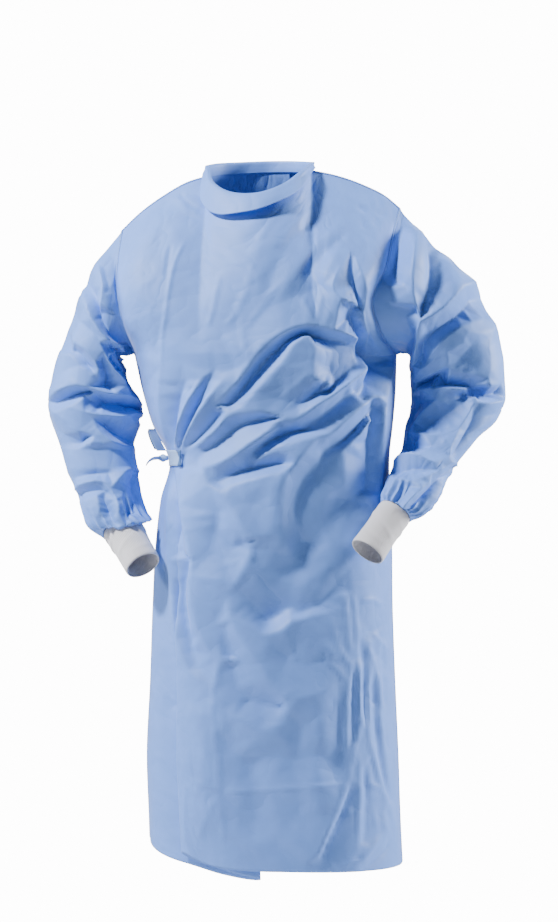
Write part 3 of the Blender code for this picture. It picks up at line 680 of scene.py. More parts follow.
# Creases of the front, as the photograph shows them
FRONT_CREASES = [
    # the cone beside the armhole
    Crease(((350, 250, 1), (341, 270, 5), (334, 284, 7), (335, 292, 7), (342, 299, 8), (353, 304, 6))),
    Crease(((318, 288, 1), (335, 292, 7))),
    Crease(((351, 254, 0), (354, 274, -5), (358, 290, -8), (362, 306, -8))),
    Crease(((354, 256, 1), (361, 276, 3), (366, 290, 2), (366, 302, -1))),
    # the hollow under the arm
    Crease((
        (353, 305, -7), (350, 316, -11), (358, 331, -16), (366, 346, -24), (378, 354, -28),
        (392, 364, -24),
    )),
    Crease(((366, 300, -2), (366, 320, -4), (372, 334, -6))),
    Crease(((361, 345, -10), (363, 358, -13), (371, 362, -10))),
    Crease(((371, 384, -12), (376, 368, -26), (386, 366, -26))),
    # the sweep under the chest
    Crease((
        (214, 404, 1), (236, 384, 5), (256, 357, 7), (273, 340, 7.5), (289, 330, 8),
        (304, 326, 8), (322, 328, 8), (345, 333, 6), (358, 338, 1),
    )),
    Crease((
        (227, 406, -5), (240, 392, -7), (251, 378, -9), (264, 362, -9), (277, 350, -8),
        (290, 339, -5), (306, 335, -7), (322, 337, -9), (343, 341, -9), (358, 352, -10),
    )),
    Crease(((238, 414, 2), (247, 401, 4), (262, 384, 6), (279, 365, 6), (292, 345, 6))),
    Crease((
        (296, 342, 7), (306, 336, 8), (313, 346, 8), (313, 360, 6), (305, 370, 6), (313, 378, 7),
        (327, 384, 5),
    )),
    Crease(((300, 404, -3), (318, 393, -6), (330, 372, -6), (334, 350, -6))),
    Crease(((330, 392, -6), (346, 376, -7), (362, 364, -8))),
    # folds that leave the armpit
    Crease(((292, 423, 2), (306, 412, 6), (324, 399, 8), (346, 384, 7), (368, 368, 1))),
    Crease(((300, 428, -3), (322, 417, -6), (345, 399, -7), (366, 382, -5))),
    Crease(((318, 448, 1), (332, 432, 5), (352, 413, 6), (373, 396, 4))),
    Crease(((322, 452, -4), (334, 447, -6), (350, 438, -6), (366, 420, -5), (374, 404, -3))),
    Crease(((342, 450, 1), (356, 436, 4), (368, 420, 5))),
    Crease(((352, 391, 0), (361, 397, -5), (371, 401, 0))),
    Crease(((374, 540, 3), (377, 495, 6), (378, 450, 9), (379, 416, 9), (385, 395, 6), (395, 366, 1))),
    Crease(((352, 500, -2), (364, 492, -5), (370, 480, -6), (371, 440, -6), (375, 408, -3))),
    # folds that leave the tie upwards
    Crease(((173, 447, -3), (172, 425, -7), (176, 402, -7), (186, 380, -1))),
    Crease(((166, 440, 1), (161, 411, 3), (161, 380, 3), (164, 350, 2))),
    Crease(((176, 447, 3), (181, 424, 6), (190, 400, 6), (203, 378, 1))),
    Crease(((178, 449, -2), (186, 427, -6), (197, 404, -7), (204, 389, -5), (214, 370, -1))),
    Crease(((181, 449, 2), (190, 430, 5), (200, 411, 7), (214, 391, 5), (234, 369, 1))),
    Crease(((183, 451, -2), (204, 431, -5), (220, 414, -6))),
    Crease(((186, 453, 1), (204, 441, 4), (221, 424, 5), (226, 412, 3))),
    Crease(((226, 410, 2), (246, 412, 4), (264, 412, 4), (279, 416, 3))),
    # folds that leave the tie to the left
    Crease((
        (188, 457, -1), (206, 449, -4), (223, 436, -6), (240, 425, -7), (262, 419, -6),
        (277, 418, -2),
    )),
    Crease((
        (187, 462, 2), (206, 467, 5), (224, 462, 7), (240, 452, 8), (256, 441, 9),
        (270, 431, 9), (279, 419, 4),
    )),
    Crease(((254, 453, -3), (267, 443, -8), (285, 435, -9), (302, 430, -8), (315, 430, -2))),
    Crease(((258, 459, 1), (280, 446, 6), (300, 440, 7), (317, 436, 6))),
    Crease((
        (317, 436, 6), (303, 453, 8), (291, 466, 8), (282, 483, 8), (277, 498, 8),
        (277, 518, 7), (282, 535, 5),
    )),
    Crease(((217, 482, -2), (238, 472, -7), (260, 466, -8), (284, 464, -3))),
    Crease(((222, 489, 2), (245, 482, 4), (266, 476, 6), (283, 471, 6))),
    Crease(((300, 540, -5), (298, 505, -6), (306, 478, -6), (322, 462, -5))),
    Crease(((186, 467, 2), (202, 480, 4), (216, 488, 5), (229, 503, 6), (240, 518, 8))),
    Crease(((240, 518, 8), (248, 506, 4), (262, 500, 3), (276, 496, 7))),
    Crease(((240, 518, 8), (246, 534, 7), (252, 544, 4))),
    Crease(((252, 544, 4), (258, 537, 6), (270, 535, 6), (282, 536, 5))),
    Crease(((219, 513, 0), (216, 530, -2.5), (213, 552, -1), (232, 548, -2.5), (250, 540, 0))),
    Crease(((228, 594, 2), (242, 573, 4.5), (250, 556, 4), (254, 548, 2))),
    Crease(((243, 598, -1), (256, 611, -6), (268, 622, -9), (282, 612, -9), (300, 602, -4))),
    # folds that leave the tie downwards
    Crease(((181, 550, -4), (177, 520, -6), (174, 490, -6), (173, 467, -3))),
    Crease(((190, 672, 2), (178, 640, 4), (175, 600, 5), (171, 560, 5), (169, 520, 5), (170, 480, 2))),
    Crease(((192, 556, 7), (188, 532, 7), (182, 505, 5), (176, 470, 2))),
    Crease((
        (198, 668, -2), (190, 650, -5), (184, 620, -7), (181, 595, -7), (184, 575, -7),
        (190, 560, -4),
    )),
    Crease(((212, 655, 1), (194, 622, 4), (191, 590, 6), (192, 562, 6))),
    # the pocket low on the skirt and the facets below it
    Crease((
        (231, 618, 5), (248, 625, 5), (262, 635, 5), (269, 641, 5), (275, 632, 5),
        (285, 629, 5), (290, 621, 5), (306, 618, 2),
    )),
    Crease(((231, 618, 5), (240, 636, 5), (251, 652, 6), (260, 663, 6), (270, 681, 5), (284, 699, 4))),
    Crease(((224, 628, -1), (230, 655, -3.5), (236, 680, -3.5), (242, 698, -2))),
    Crease(((212, 702, 1), (234, 717, 5), (252, 725, 6), (271, 735, 5), (280, 724, 5), (285, 712, 4))),
    Crease(((244, 700, -4), (264, 705, -4), (280, 706, -2))),
    Crease(((284, 699, 5), (304, 697, 5), (325, 690, 4), (338, 684, 1))),
    Crease(((298, 760, -2), (320, 755, -4), (334, 764, -2))),
    Crease(((300, 630, 3), (318, 640, 2), (330, 652, 3))),
    Crease(((300, 612, -5), (318, 606, -4), (334, 590, -3))),
]
# Creases from packing and the crumpled lower right
PACKING_CREASES = [
    Crease((
        (225, 857, 2), (222, 830, 2.5), (219, 791, 3), (217, 755, 2.5), (213, 716, 2.5),
        (214, 690, 2), (219, 660, 2), (217, 626, 0.5),
    )),
    Crease(((190, 780, 0), (218, 791, 3))),
    Crease(((218, 791, 3), (250, 791, 2.8), (290, 788, 2.8), (325, 786, 3), (347, 783, 3))),
    Crease(((219, 660, 2), (230, 660, 1.6), (240, 661, 0))),
    Crease(((198, 841, 0), (206, 818, 1.8), (217, 796, 2))),
    Crease(((160, 668, 0), (167, 690, 1.8), (177, 704, 0))),
    Crease(((186, 850, 0), (184, 815, 1.6), (186, 780, 0))),
    Crease(((352, 652, 3), (349, 640, 3), (347, 618, 2.5), (345, 596, 1))),
    Crease(((358, 660, 2), (357, 630, 3), (353, 592, 1))),
    Crease(((347, 783, 3), (346, 750, 3), (347, 720, 3), (349, 690, 3), (352, 652, 3))),
    Crease(((341, 760, -2), (339, 730, -2.5), (340, 700, -2))),
    Crease(((330, 612, 0.5), (336, 640, 3), (344, 656, 3), (352, 668, 2))),
    Crease(((324, 660, 0), (336, 668, 3), (347, 682, 3))),
    Crease(((353, 740, -2), (354, 700, -3), (354, 676, -2))),
    Crease(((365, 731, 1), (360, 714, 4), (360, 690, 4), (359, 655, 2))),
    Crease(((367, 720, -3), (364, 690, -3), (363, 652, -2))),
    Crease(((401, 841, 1), (392, 815, 3), (384, 790, 3), (373, 752, 4), (368, 720, 3), (369, 650, 2))),
    Crease(((388, 800, -2), (380, 762, -3), (375, 720, -3), (372, 680, -2))),
    Crease(((389, 790, 1), (386, 760, 3), (380, 720, 3), (378, 680, 3), (368, 644, 1))),
    Crease(((386, 720, -2), (384, 680, -3), (382, 640, -2))),
    Crease(((372, 632, 0), (380, 640, 3), (390, 652, 0))),
    Crease(((360, 602, 1), (372, 600, 2.5), (384, 606, 1))),
    Crease((
        (306, 864, 2), (319, 853, 5), (325, 841, 6), (334, 820, 6), (344, 795, 5),
        (348, 779, 4), (355, 745, 4), (360, 722, 3),
    )),
    Crease(((321, 864, -3), (330, 836, -5), (341, 815, -5), (351, 790, -4))),
    Crease(((341, 816, -3), (350, 813, 2), (358, 811, 1))),
    Crease(((357, 859, 3), (358, 830, 3.5), (360, 790, 3.5), (359, 742, 2))),
    Crease(((364, 840, -2), (366, 800, -3), (365, 770, -2))),
    Crease(((366, 782, 0.5), (374, 786, 2), (384, 790, 3))),
    Crease(((341, 868, 2), (352, 861, 5), (363, 860, 6), (382, 834, 2))),
    Crease(((366, 868, -2), (378, 858, -3), (392, 842, -2))),
]
FRONT_CRUMPLES = [
    Crumple(372, 670, 24, 60, 22, 60, 86, 12, 1.6, 11),
    Crumple(378, 790, 24, 50, 12, 60, 93, 10, 1.4, 13),
    Crumple(374, 218, 20, 18, 18, 20, -50, 20, 1.6, 14),
    Crumple(288, 790, 50, 60, 12, 40, 70, 40, 0.9, 19),
    Crumple(230, 560, 40, 40, 10, 30, 50, 40, 0.9, 17),
    Crumple(184, 760, 30, 80, 10, 50, 88, 20, 0.9, 18),
]
SLEEVE_RIGHT_FOLDS = [
    Fold(((62, 358), (70, 330), (84, 300)), 14, 14, -3, 0.3),
]
SLEEVE_RIGHT_CREASES = [
    Crease(((83, 290, 3), (95, 320, 7), (108, 338, 8), (120, 350, 8))),
    Crease(((87, 286, -5), (96, 306, -9), (98, 318, -9), (110, 334, -7), (121, 344, -5))),
    Crease(((99, 266, 3), (103, 286, 4), (101, 304, 3))),
    Crease(((104, 268, 0), (109, 288, 2), (120, 302, 1))),
    Crease(((116, 274, 1), (112, 284, 3), (108, 292, 1))),
    Crease(((107, 349, -3), (112, 346, -6), (122, 352, -12), (134, 364, -14))),
    Crease(((112, 360, -10), (122, 368, -12), (132, 372, -12))),
    Crease(((97, 334, 3), (104, 350, 6), (112, 366, 8), (121, 380, 9), (122, 389, 8))),
    Crease(((62, 370, 1), (78, 343, 6), (97, 361, 7), (99, 375, 4), (96, 386, 3))),
    Crease(((64, 373, 1), (80, 365, 3), (95, 373, 4))),
    Crease(((70, 350, -2), (80, 354, -3), (88, 366, -3))),
    Crease(((101, 362, -5), (107, 376, -8), (106, 386, -6))),
    Crease(((49, 401, 3), (62, 390, 8), (79, 384, 9), (94, 388, 9))),
    Crease(((56, 403, -3), (74, 395, -6), (90, 392, -4))),
    Crease(((94, 388, 9), (112, 393, 9), (127, 397, 8), (138, 404, 4))),
    Crease(((98, 398, -7), (108, 404, -11), (122, 404, -12), (139, 409, -10))),
    Crease(((71, 407, 7), (84, 411, 7), (101, 415, 8), (120, 417, 7), (130, 413, 5), (141, 413, 3))),
    Crease(((82, 396, 1), (92, 402, -4), (96, 411, -2))),
    Crease(((71, 407, 7), (84, 398, 4), (95, 391, 4))),
    Crease(((51, 406, 4), (66, 418, 6), (80, 432, 5))),
    Crease(((94, 419, 4), (97, 429, 6), (112, 443, 8), (135, 458, 9))),
    Crease(((104, 424, -6), (116, 432, -10), (134, 440, -10))),
    Crease(((70, 458, -2), (76, 448, -6), (86, 437, -4))),
    Crease(((70, 462, 2), (82, 452, 6), (91, 447, 7), (104, 454, 5), (118, 460, 3))),
    Crease(((81, 431, 5), (94, 436, 4), (106, 446, 4))),
    Crease(((135, 459, 9), (123, 474, 6), (110, 489, 4))),
    Crease(((136, 468, -6), (138, 482, -10), (139, 498, -7))),
    Crease(((126, 484, -2), (128, 496, -3))),
    Crease(((80, 485, 4), (95, 481, 5), (112, 484, 3))),
    Crease(((74, 478, -2), (90, 474, -4), (108, 472, -3))),
    Crease(((84, 492, -3), (100, 490, -3), (108, 492, -2))),
    Crease(((104, 500, -4), (108, 510, -6), (112, 520, -3))),
    Crease(((98, 496, 3), (101, 508, 5), (98, 520, 3))),
    Crease(((116, 500, 4), (119, 510, 6), (117, 518, 3))),
    Crease(((126, 504, -3), (130, 512, -5))),
    Crease(((88, 500, 3), (88, 516, 4), (92, 530, 2))),
]
SLEEVE_RIGHT_CRUMPLES = [
    Crumple(112, 380, 26, 30, 10, 20, -20, 30, 1.4, 31),
    Crumple(90, 440, 30, 34, 10, 20, -25, 35, 1.4, 32),
    Crumple(118, 508, 22, 18, 12, 16, 60, 25, 1.8, 33),
]
SLEEVE_LEFT_FOLDS = [
    Fold(((452, 296), (448, 268), (452, 244)), 16, 18, 4, 0.3),
]
SLEEVE_LEFT_CREASES = [
    # beside the armhole
    Crease(((398, 283, -4), (394, 266, -9), (396, 246, -9), (402, 228, -5))),
    Crease(((402, 274, 1), (411, 254, 3), (411, 236, 3))),
    Crease(((421, 318, 7), (412, 290, 9), (414, 262, 10), (417, 236, 5))),
    Crease(((423, 308, -5), (430, 290, -7), (433, 262, -7), (428, 244, -3))),
    Crease(((390, 288, 1), (404, 285, 4), (412, 290, 9))),
    Crease(((396, 330, -2), (406, 318, -3), (414, 308, -2))),
    # the two folds across the upper arm
    Crease(((421, 319, 9), (440, 308, 10), (459, 289, 10), (474, 285, 8))),
    Crease(((421, 357, -8), (425, 344, -10), (440, 331, -9), (461, 316, -8), (470, 300, -3))),
    Crease(((428, 358, 3), (440, 340, 6), (458, 326, 6), (480, 319, 4))),
    Crease(((459, 289, 10), (452, 272, 4), (440, 258, 1))),
    Crease(((461, 342, 7), (466, 331, 8), (484, 338, 7))),
    Crease(((484, 338, 7), (492, 325, 7), (487, 316, 3))),
    Crease(((484, 340, 6), (487, 356, 6), (487, 372, 7), (484, 385, 5))),
    Crease(((487, 372, 7), (500, 360, 3))),
    Crease(((436, 356, 5), (446, 350, 7), (462, 343, 7))),
    Crease(((440, 356, 5), (448, 362, 6), (450, 374, 3))),
    Crease(((412, 377, 4), (424, 366, 7), (436, 356, 5))),
    Crease(((400, 362, -3), (406, 350, -6), (412, 340, -4))),
    Crease(((413, 372, 2), (415, 356, 4), (417, 342, 3))),
    Crease(((470, 346, 4), (472, 358, 3), (466, 372, 2))),
    # the elbow
    Crease(((424, 386, -10), (432, 379, -11), (443, 373, -5))),
    Crease(((412, 384, 3), (424, 378, 5), (438, 370, 5), (444, 366, 5))),
    Crease(((444, 385, -7), (462, 386, -9), (484, 387, -8))),
    Crease(((415, 396, 4), (424, 388, 8), (444, 388, 8), (462, 389, 7))),
    Crease(((463, 393, -7), (478, 396, -10), (496, 393, -6))),
    Crease(((470, 400, 4), (486, 404, 6), (503, 399, 5))),
    Crease(((488, 386, 6), (496, 386, 3), (502, 380, 2))),
    Crease(((454, 396, 1), (459, 404, -3), (468, 402, -1))),
    # the forearm
    Crease(((416, 425, 5), (430, 410, 8), (447, 392, 7))),
    Crease(((403, 430, -3), (410, 416, -5), (418, 402, -4))),
    Crease(((424, 430, -2), (440, 416, -4), (454, 408, -4))),
    Crease(((436, 470, 1), (450, 448, 3), (459, 430, 4), (469, 414, 5), (475, 397, 5))),
    Crease(((452, 456, -2), (461, 440, -3), (472, 418, -3))),
    Crease(((402, 444, -6), (407, 448, -8), (413, 439, -5))),
    Crease(((410, 434, 4), (424, 437, 5), (440, 437, 2))),
    Crease(((386, 476, 5), (398, 462, 8), (413, 457, 8), (427, 462, 5), (438, 464, 3))),
    Crease(((396, 472, -4), (410, 467, -5), (424, 469, -3))),
    Crease(((412, 483, 2), (424, 478, 5), (437, 472, 3))),
    Crease(((449, 479, -2), (455, 471, -6), (462, 466, -2))),
    Crease(((446, 452, 1), (452, 462, 4), (460, 468, 3))),
    Crease(((394, 506, -3), (402, 496, -5), (410, 486, -2))),
    Crease(((402, 508, 4), (414, 496, 6), (428, 484, 4))),
    Crease(((412, 506, -3), (424, 494, -5), (440, 478, -3))),
    Crease(((420, 510, 3), (432, 498, 5), (442, 486, 3))),
    Crease(((386, 500, 3), (392, 490, 5), (398, 480, 3))),
]
SLEEVE_LEFT_CRUMPLES = [
    Crumple(456, 376, 34, 22, 12, 20, 10, 30, 1.6, 42),
    Crumple(430, 440, 30, 26, 10, 20, 35, 30, 1.4, 43),
    Crumple(428, 492, 22, 18, 12, 16, 40, 30, 1.8, 44),
]
# Like folds on the back, where the photograph doesn't reach
BACK_FOLDS = [
    Fold(((336, 862), (340, 690), (342, 536)), 36, 36, 8, 0.2),
    Fold(((256, 862), (240, 650), (190, 520)), 38, 36, -8, 0.2),
    Fold(((236, 350), (232, 300), (240, 240)), 30, 30, -5, 0.2),
]
BACK_CREASES = [
    Crease(((164, 448, 3), (188, 428, 7), (220, 404, 8), (262, 364, 7), (302, 330, 2))),
    Crease(((164, 454, -3), (196, 444, -7), (240, 424, -8), (290, 400, -7), (330, 384, -2))),
    Crease(((164, 462, 2), (200, 462, 6), (250, 452, 8), (300, 440, 7), (346, 424, 2))),
    Crease(((166, 470, -2), (204, 480, -6), (250, 492, -7), (300, 488, -5), (346, 470, -2))),
    Crease(((168, 476, 2), (190, 520, 6), (214, 580, 7), (240, 640, 6), (262, 700, 2))),
    Crease(((164, 480, -2), (176, 540, -6), (190, 610, -7), (204, 690, -5), (212, 740, -2))),
    Crease(((160, 484, 2), (164, 560, 5), (170, 640, 6), (176, 720, 2))),
    Crease(((172, 440, -2), (186, 400, -6), (206, 360, -6), (232, 322, -2))),
    Crease(((166, 438, 2), (172, 396, 5), (186, 356, 5), (204, 318, 1))),
    Crease(((160, 268, 1), (182, 290, 6), (206, 318, 7), (222, 352, 3))),
    Crease(((172, 256, -1), (196, 276, -5), (222, 304, -6), (240, 336, -2))),
    Crease(((304, 350, 2), (320, 318, 6), (340, 290, 7), (366, 262, 2))),
    Crease(((318, 356, -2), (338, 326, -6), (358, 302, -6), (380, 282, -2))),
    Crease(((236, 862, 3), (232, 800, 5), (228, 720, 6), (236, 640, 3))),
    Crease(((292, 862, 4), (296, 790, 7), (294, 700, 7), (286, 610, 6), (290, 550, 2))),
    Crease(((316, 862, -3), (318, 780, -6), (314, 690, -6), (306, 600, -2))),
    Crease(((344, 862, 3), (346, 770, 6), (344, 680, 6), (350, 590, 2))),
    Crease(((366, 862, -3), (368, 760, -5), (366, 660, -5), (362, 580, -2))),
    Crease(((384, 850, 2), (384, 740, 5), (386, 640, 5), (380, 560, 2))),
    Crease(((188, 640, 2), (220, 626, 7), (256, 622, 7), (300, 640, 2))),
    Crease(((196, 654, -2), (226, 646, -6), (260, 646, -6), (290, 658, -2))),
    Crease(((336, 540, 2), (350, 500, 6), (366, 460, 6), (384, 420, 3))),
    Crease(((350, 546, -2), (364, 508, -5), (378, 470, -4))),
    Crease(((170, 786, 0), (200, 790, 3), (232, 800, 5), (292, 794, 5), (346, 782, 4), (392, 780, 1))),
    Crease(((260, 300, 0), (272, 270, 2), (290, 236, 2), (312, 206, 0))),
    Crease(((206, 300, 0), (212, 262, 2), (222, 226, 0))),
]
BACK_CRUMPLES = [
    Crumple(350, 700, 36, 90, 20, 60, 86, 14, 1.4, 51),
    Crumple(210, 660, 40, 90, 14, 50, 80, 20, 1.2, 52),
    Crumple(250, 300, 70, 60, 14, 40, 60, 35, 1.0, 53),
    Crumple(300, 470, 70, 40, 12, 40, 30, 30, 1.2, 54),
]
FRONT_FACETS = Facets(
    FRONT_CREASES + [replace(line, share=0.45) for line in PACKING_CREASES],
    30.0, 12.0, 3.0, 0.5, 1.5, 61,
)
BACK_FACETS = Facets(BACK_CREASES, 34.0, 14.0, 3.0, 0.8, 1.3, 62)
SLEEVE_RIGHT_FACETS = Facets(SLEEVE_RIGHT_CREASES, 22.0, 9.0, 1.2, 0.7, 1.4, 63)
SLEEVE_LEFT_FACETS = Facets(SLEEVE_LEFT_CREASES, 22.0, 9.0, 1.2, 0.7, 1.4, 64)
# How many steps a fold's line takes between two points, and the shape of a sharp crest
FOLD_STEPS = 6
CREST_POWER = 1.2
# The thin creases' height and reach, in millimetres
THIN_DEPTH = 1.6
THIN_REACH = 5.0
# The backs of the sleeves have like folds, lower by pixels of the photograph and shallower
BEHIND_DROP = 11.0
BEHIND_SHARE = 0.8


def column(rows: Sequence[NamedTuple], name: str) -> np.ndarray:
    """Returns one named column of a table as an array."""
    return np.array([getattr(row, name) for row in rows], float)


def read(rows: Sequence[NamedTuple], name: str, at: np.ndarray) -> np.ndarray:
    """Reads a table's column as a smooth curve over its first column."""
    return curve(column(rows, rows[0]._fields[0]), column(rows, name), at)


def curve(knots: np.ndarray, values: np.ndarray, at: np.ndarray) -> np.ndarray:
    """Reads a smooth curve through values.

    Args:
        knots: the rising places of the values.
        values: one value or point for each knot.
        at: where to read the curve.

    Returns:
        The curve's values there.
    """
    knots, values = np.asarray(knots, float), np.asarray(values, float)
    if values.ndim == 1:
        return curve(knots, values[:, None], at)[..., 0]
    slopes = np.gradient(values, knots, axis=0)
    at = np.clip(np.asarray(at, float), knots[0], knots[-1])
    i = np.clip(np.searchsorted(knots, at, side="right") - 1, 0, len(knots) - 2)
    step = (knots[i + 1] - knots[i])[..., None]
    t = (at[..., None] - knots[i][..., None]) / step
    start, end = values[i], values[i + 1]
    rise, fall = slopes[i] * step, slopes[i + 1] * step
    return (
        start * (1 + 2 * t) * (1 - t) ** 2
        + rise * t * (1 - t) ** 2
        + end * t**2 * (3 - 2 * t)
        - fall * t**2 * (1 - t)
    )


def along(points: Sequence[Point], shares: np.ndarray) -> np.ndarray:
    """Returns points at shares of the length of a smooth curve through a table."""
    places = np.array([(p.x, p.y, p.z) for p in points], float)
    spans = np.linalg.norm(np.diff(places, axis=0), axis=1)
    knots = np.concatenate([[0], np.cumsum(spans)]) / spans.sum()
    return curve(knots, places, np.asarray(shares, float))


def power(value: np.ndarray, exponent: float) -> np.ndarray:
    """Returns a signed power."""
    return np.sign(value) * np.abs(value) ** exponent


def eased(value: np.ndarray) -> np.ndarray:
    """Returns 0 below 0, 1 above 1 and a smooth step between."""
    value = np.clip(value, 0, 1)
    return value * value * (3 - 2 * value)


def unit(vectors: np.ndarray) -> np.ndarray:
    """Returns vectors scaled to length 1."""
    return vectors / np.maximum(np.linalg.norm(vectors, axis=-1, keepdims=True), 1e-9)


def body_point(turn: np.ndarray, height: np.ndarray) -> np.ndarray:
    """Returns points of the body's surface.

    Args:
        turn: degrees round the body, 0 at the wearer's left and 90 behind.
        height: the height of each point.
    """
    height = np.asarray(height, float)
    right, left, front, back = (read(BODY, name, height) for name in Section._fields[1:])
    turn = np.radians(turn)
    x = (left + right) / 2 + (left - right) / 2 * power(np.cos(turn), 2 / SQUARENESS)
    y = (front + back) / 2 + (back - front) / 2 * power(np.sin(turn), 2 / SQUARENESS)
    return np.stack(np.broadcast_arrays(x, y, height), axis=-1)


def top_edge(neck_points: Sequence[Point], neck: tuple[float, float], places: np.ndarray) -> np.ndarray:
    """Returns the shoulder seams and the neckline between them, at places across a panel."""
    low, high = neck
    right = along(SHOULDER_RIGHT, places / low)
    left = along(SHOULDER_LEFT, (1 - places) / (1 - high))
    line = along(neck_points, (places - low) / (high - low))
    places = places[:, None]
    return np.where(places <= low, right, np.where(places >= high, left, line))


def patch(
    bottom: np.ndarray, top: np.ndarray, right: np.ndarray, left: np.ndarray, bulge: float
) -> np.ndarray:
    """Returns a surface between four edges, pushed out by bulge in its middle."""
    up = np.linspace(0, 1, len(right))[:, None, None]
    over = np.linspace(0, 1, len(bottom))[None, :, None]
    ruled = (1 - up) * bottom[None] + up * top[None]
    surface = (
        ruled
        + (1 - eased(over / SIDE_REACH)) * (right[:, None] - ruled[:, :1])
        + (1 - eased((1 - over) / SIDE_REACH)) * (left[:, None] - ruled[:, -1:])
    )
    crown = np.sin(np.pi * up) * np.sin(np.pi * over) ** CROWN_POWER
    return surface + crown * np.array([0.0, bulge, 0.0])


def normals_of(grid: np.ndarray, closed: bool, outward: int) -> np.ndarray:
    """Returns the unit normals of a grid, pointing out of the gown."""
    if closed:
        over = np.roll(grid, -1, axis=1) - np.roll(grid, 1, axis=1)
    else:
        over = np.gradient(grid, axis=1)
    return unit(np.cross(over, np.gradient(grid, axis=0)) * outward)


def fold_height(fold: Fold, places: np.ndarray) -> np.ndarray:
    """Finds how far one fold lifts each place.

    Args:
        fold: the fold.
        places: x and z of each place in the camera's plane, in millimetres.

    Returns:
        The lift of each place, in millimetres.
    """
    knots = PORTRAIT.place(fold.path)
    steps = np.linspace(0, 1, FOLD_STEPS * (len(knots) - 1) + 1)
    line = curve(np.linspace(0, 1, len(knots)), knots, steps)
    reach = max(fold.left, fold.right)
    low, high = line.min(axis=0) - reach, line.max(axis=0) + reach
    lift = np.zeros(len(places))
    close = np.flatnonzero(((places > low) & (places < high)).all(axis=1))
    if not len(close):
        return lift
    starts, runs = line[:-1], np.diff(line, axis=0)
    offset = places[close, None] - starts[None]
    t = np.clip((offset * runs).sum(-1) / (runs**2).sum(-1), 0, 1)
    away = offset - t[..., None] * runs
    distance = np.linalg.norm(away, axis=-1)
    nearest = distance.argmin(axis=1)
    pick = np.arange(len(close))
    run, gap = runs[nearest], away[pick, nearest]
    side = run[:, 0] * gap[:, 1] - run[:, 1] * gap[:, 0]
    slope = np.clip(1 - distance[pick, nearest] / np.where(side > 0, fold.left, fold.right), 0, 1)
    profile = (1 - fold.crisp) * slope**2 * (3 - 2 * slope) + fold.crisp * slope**CREST_POWER
    share = (nearest + t[pick, nearest]) / len(runs)
    fade = eased(share / fold.start) * eased((1 - share) / fold.end)
    lift[close] = fold.depth * profile * fade
    return lift


def edge_fade(grid: np.ndarray, seams: str, margin: float) -> np.ndarray:
    """Returns 1 inside a panel and 0 at its sewn edges, over a margin."""
    rows, columns = grid.shape[:2]
    over = np.linalg.norm(np.diff(grid, axis=1), axis=-1)
    up = np.linalg.norm(np.diff(grid, axis=0), axis=-1)
    from_bottom = np.concatenate([np.zeros((1, columns)), np.cumsum(up, axis=0)])
    from_right = np.concatenate([np.zeros((rows, 1)), np.cumsum(over, axis=1)], axis=1)
    distance = {
        "bottom": from_bottom,
        "top": from_bottom[-1:] - from_bottom,
        "right": from_right,
        "left": from_right[:, -1:] - from_right,
    }
    fade = np.ones((rows, columns))
    for edge in seams.split():
        fade *= eased(distance[edge] / margin)
    return fade


@dataclass
class Cloth:
    """A stretch of cloth as a grid of points in millimetres, rows running along it.

    Args:
        grid: the points.
        outward: 1 or -1, the side of the grid that faces out.
        closed: whether the last column meets the first.
        seams: the sewn edges, where the cloth keeps its place.
        margin: how far from a sewn edge the folds reach their full depth.
        rim: the share of the folds that goes round the outline.
        lean: the directions that folds lift in, where they aren't the normals.
    """

    grid: np.ndarray
    outward: int
    closed: bool = False
    seams: str = ""
    margin: float = 10.0
    rim: float = 0.0
    lean: Optional[np.ndarray] = None

    def normals(self) -> np.ndarray:
        """Returns the grid's outward normals."""
        return normals_of(self.grid, self.closed, self.outward)

    def fade(self) -> np.ndarray:
        """Returns how much of a fold each point takes."""
        from_tie = np.abs(self.grid[..., 2] - TIE_LEVEL) - WaistTie.half_width
        from_side = self.grid[..., 0] - WaistTie.reach
        pressed = eased(np.maximum(from_tie, from_side) / WaistTie.ease)
        return edge_fade(self.grid, self.seams, self.margin) * pressed

    def fold(self, folds: Sequence[Fold], facing: Facing, rumples: Sequence[Rumple] = (),
             facets: Optional[Facets] = None, drop: float = 0.0, share: float = 1.0) -> None:
        """Lifts folds out of the cloth on the side that they face.

        Args:
            folds: the folds to lift.
            facing: the side of the gown that they are on.
            rumples: shallow creases that are lifted with them.
            facets: facets that are lifted with them.
            drop, share: how much lower and shallower the facets are than their creases say.
        """
        lean = self.normals() if self.lean is None else self.lean
        flat, lean = self.grid.reshape(-1, 3), lean.reshape(-1, 3)
        places = PORTRAIT.plane(flat)
        lift = np.zeros(len(flat))
        for fold in folds:
            lift += fold_height(fold, places)
        for rumple in rumples:
            lift += rumple.lift(places)
        if facets:
            raised = share * facets.lift(places + np.array([0.0, drop * PORTRAIT.pixel]))
            lift += facets.strength * raised
        seen = np.clip(self.rim + facing.value * lean[:, 1] * FACING_GAIN, 0, 1)
        lift *= seen * self.fade().reshape(-1)
        self.grid = (flat + lean * lift[:, None]).reshape(self.grid.shape)

    def lengths(self) -> tuple[np.ndarray, np.ndarray]:
        """Returns each point's place across and along the cloth, in metres."""
        ring = np.concatenate([self.grid, self.grid[:, :1]], axis=1) if self.closed else self.grid
        over = np.linalg.norm(np.diff(ring, axis=1), axis=-1).mean(axis=0)
        up = np.linalg.norm(np.diff(ring, axis=0), axis=-1).mean(axis=1)
        across = np.concatenate([[0], np.cumsum(over)]) * MM
        length = np.concatenate([[0], np.cumsum(up)]) * MM
        return across, length


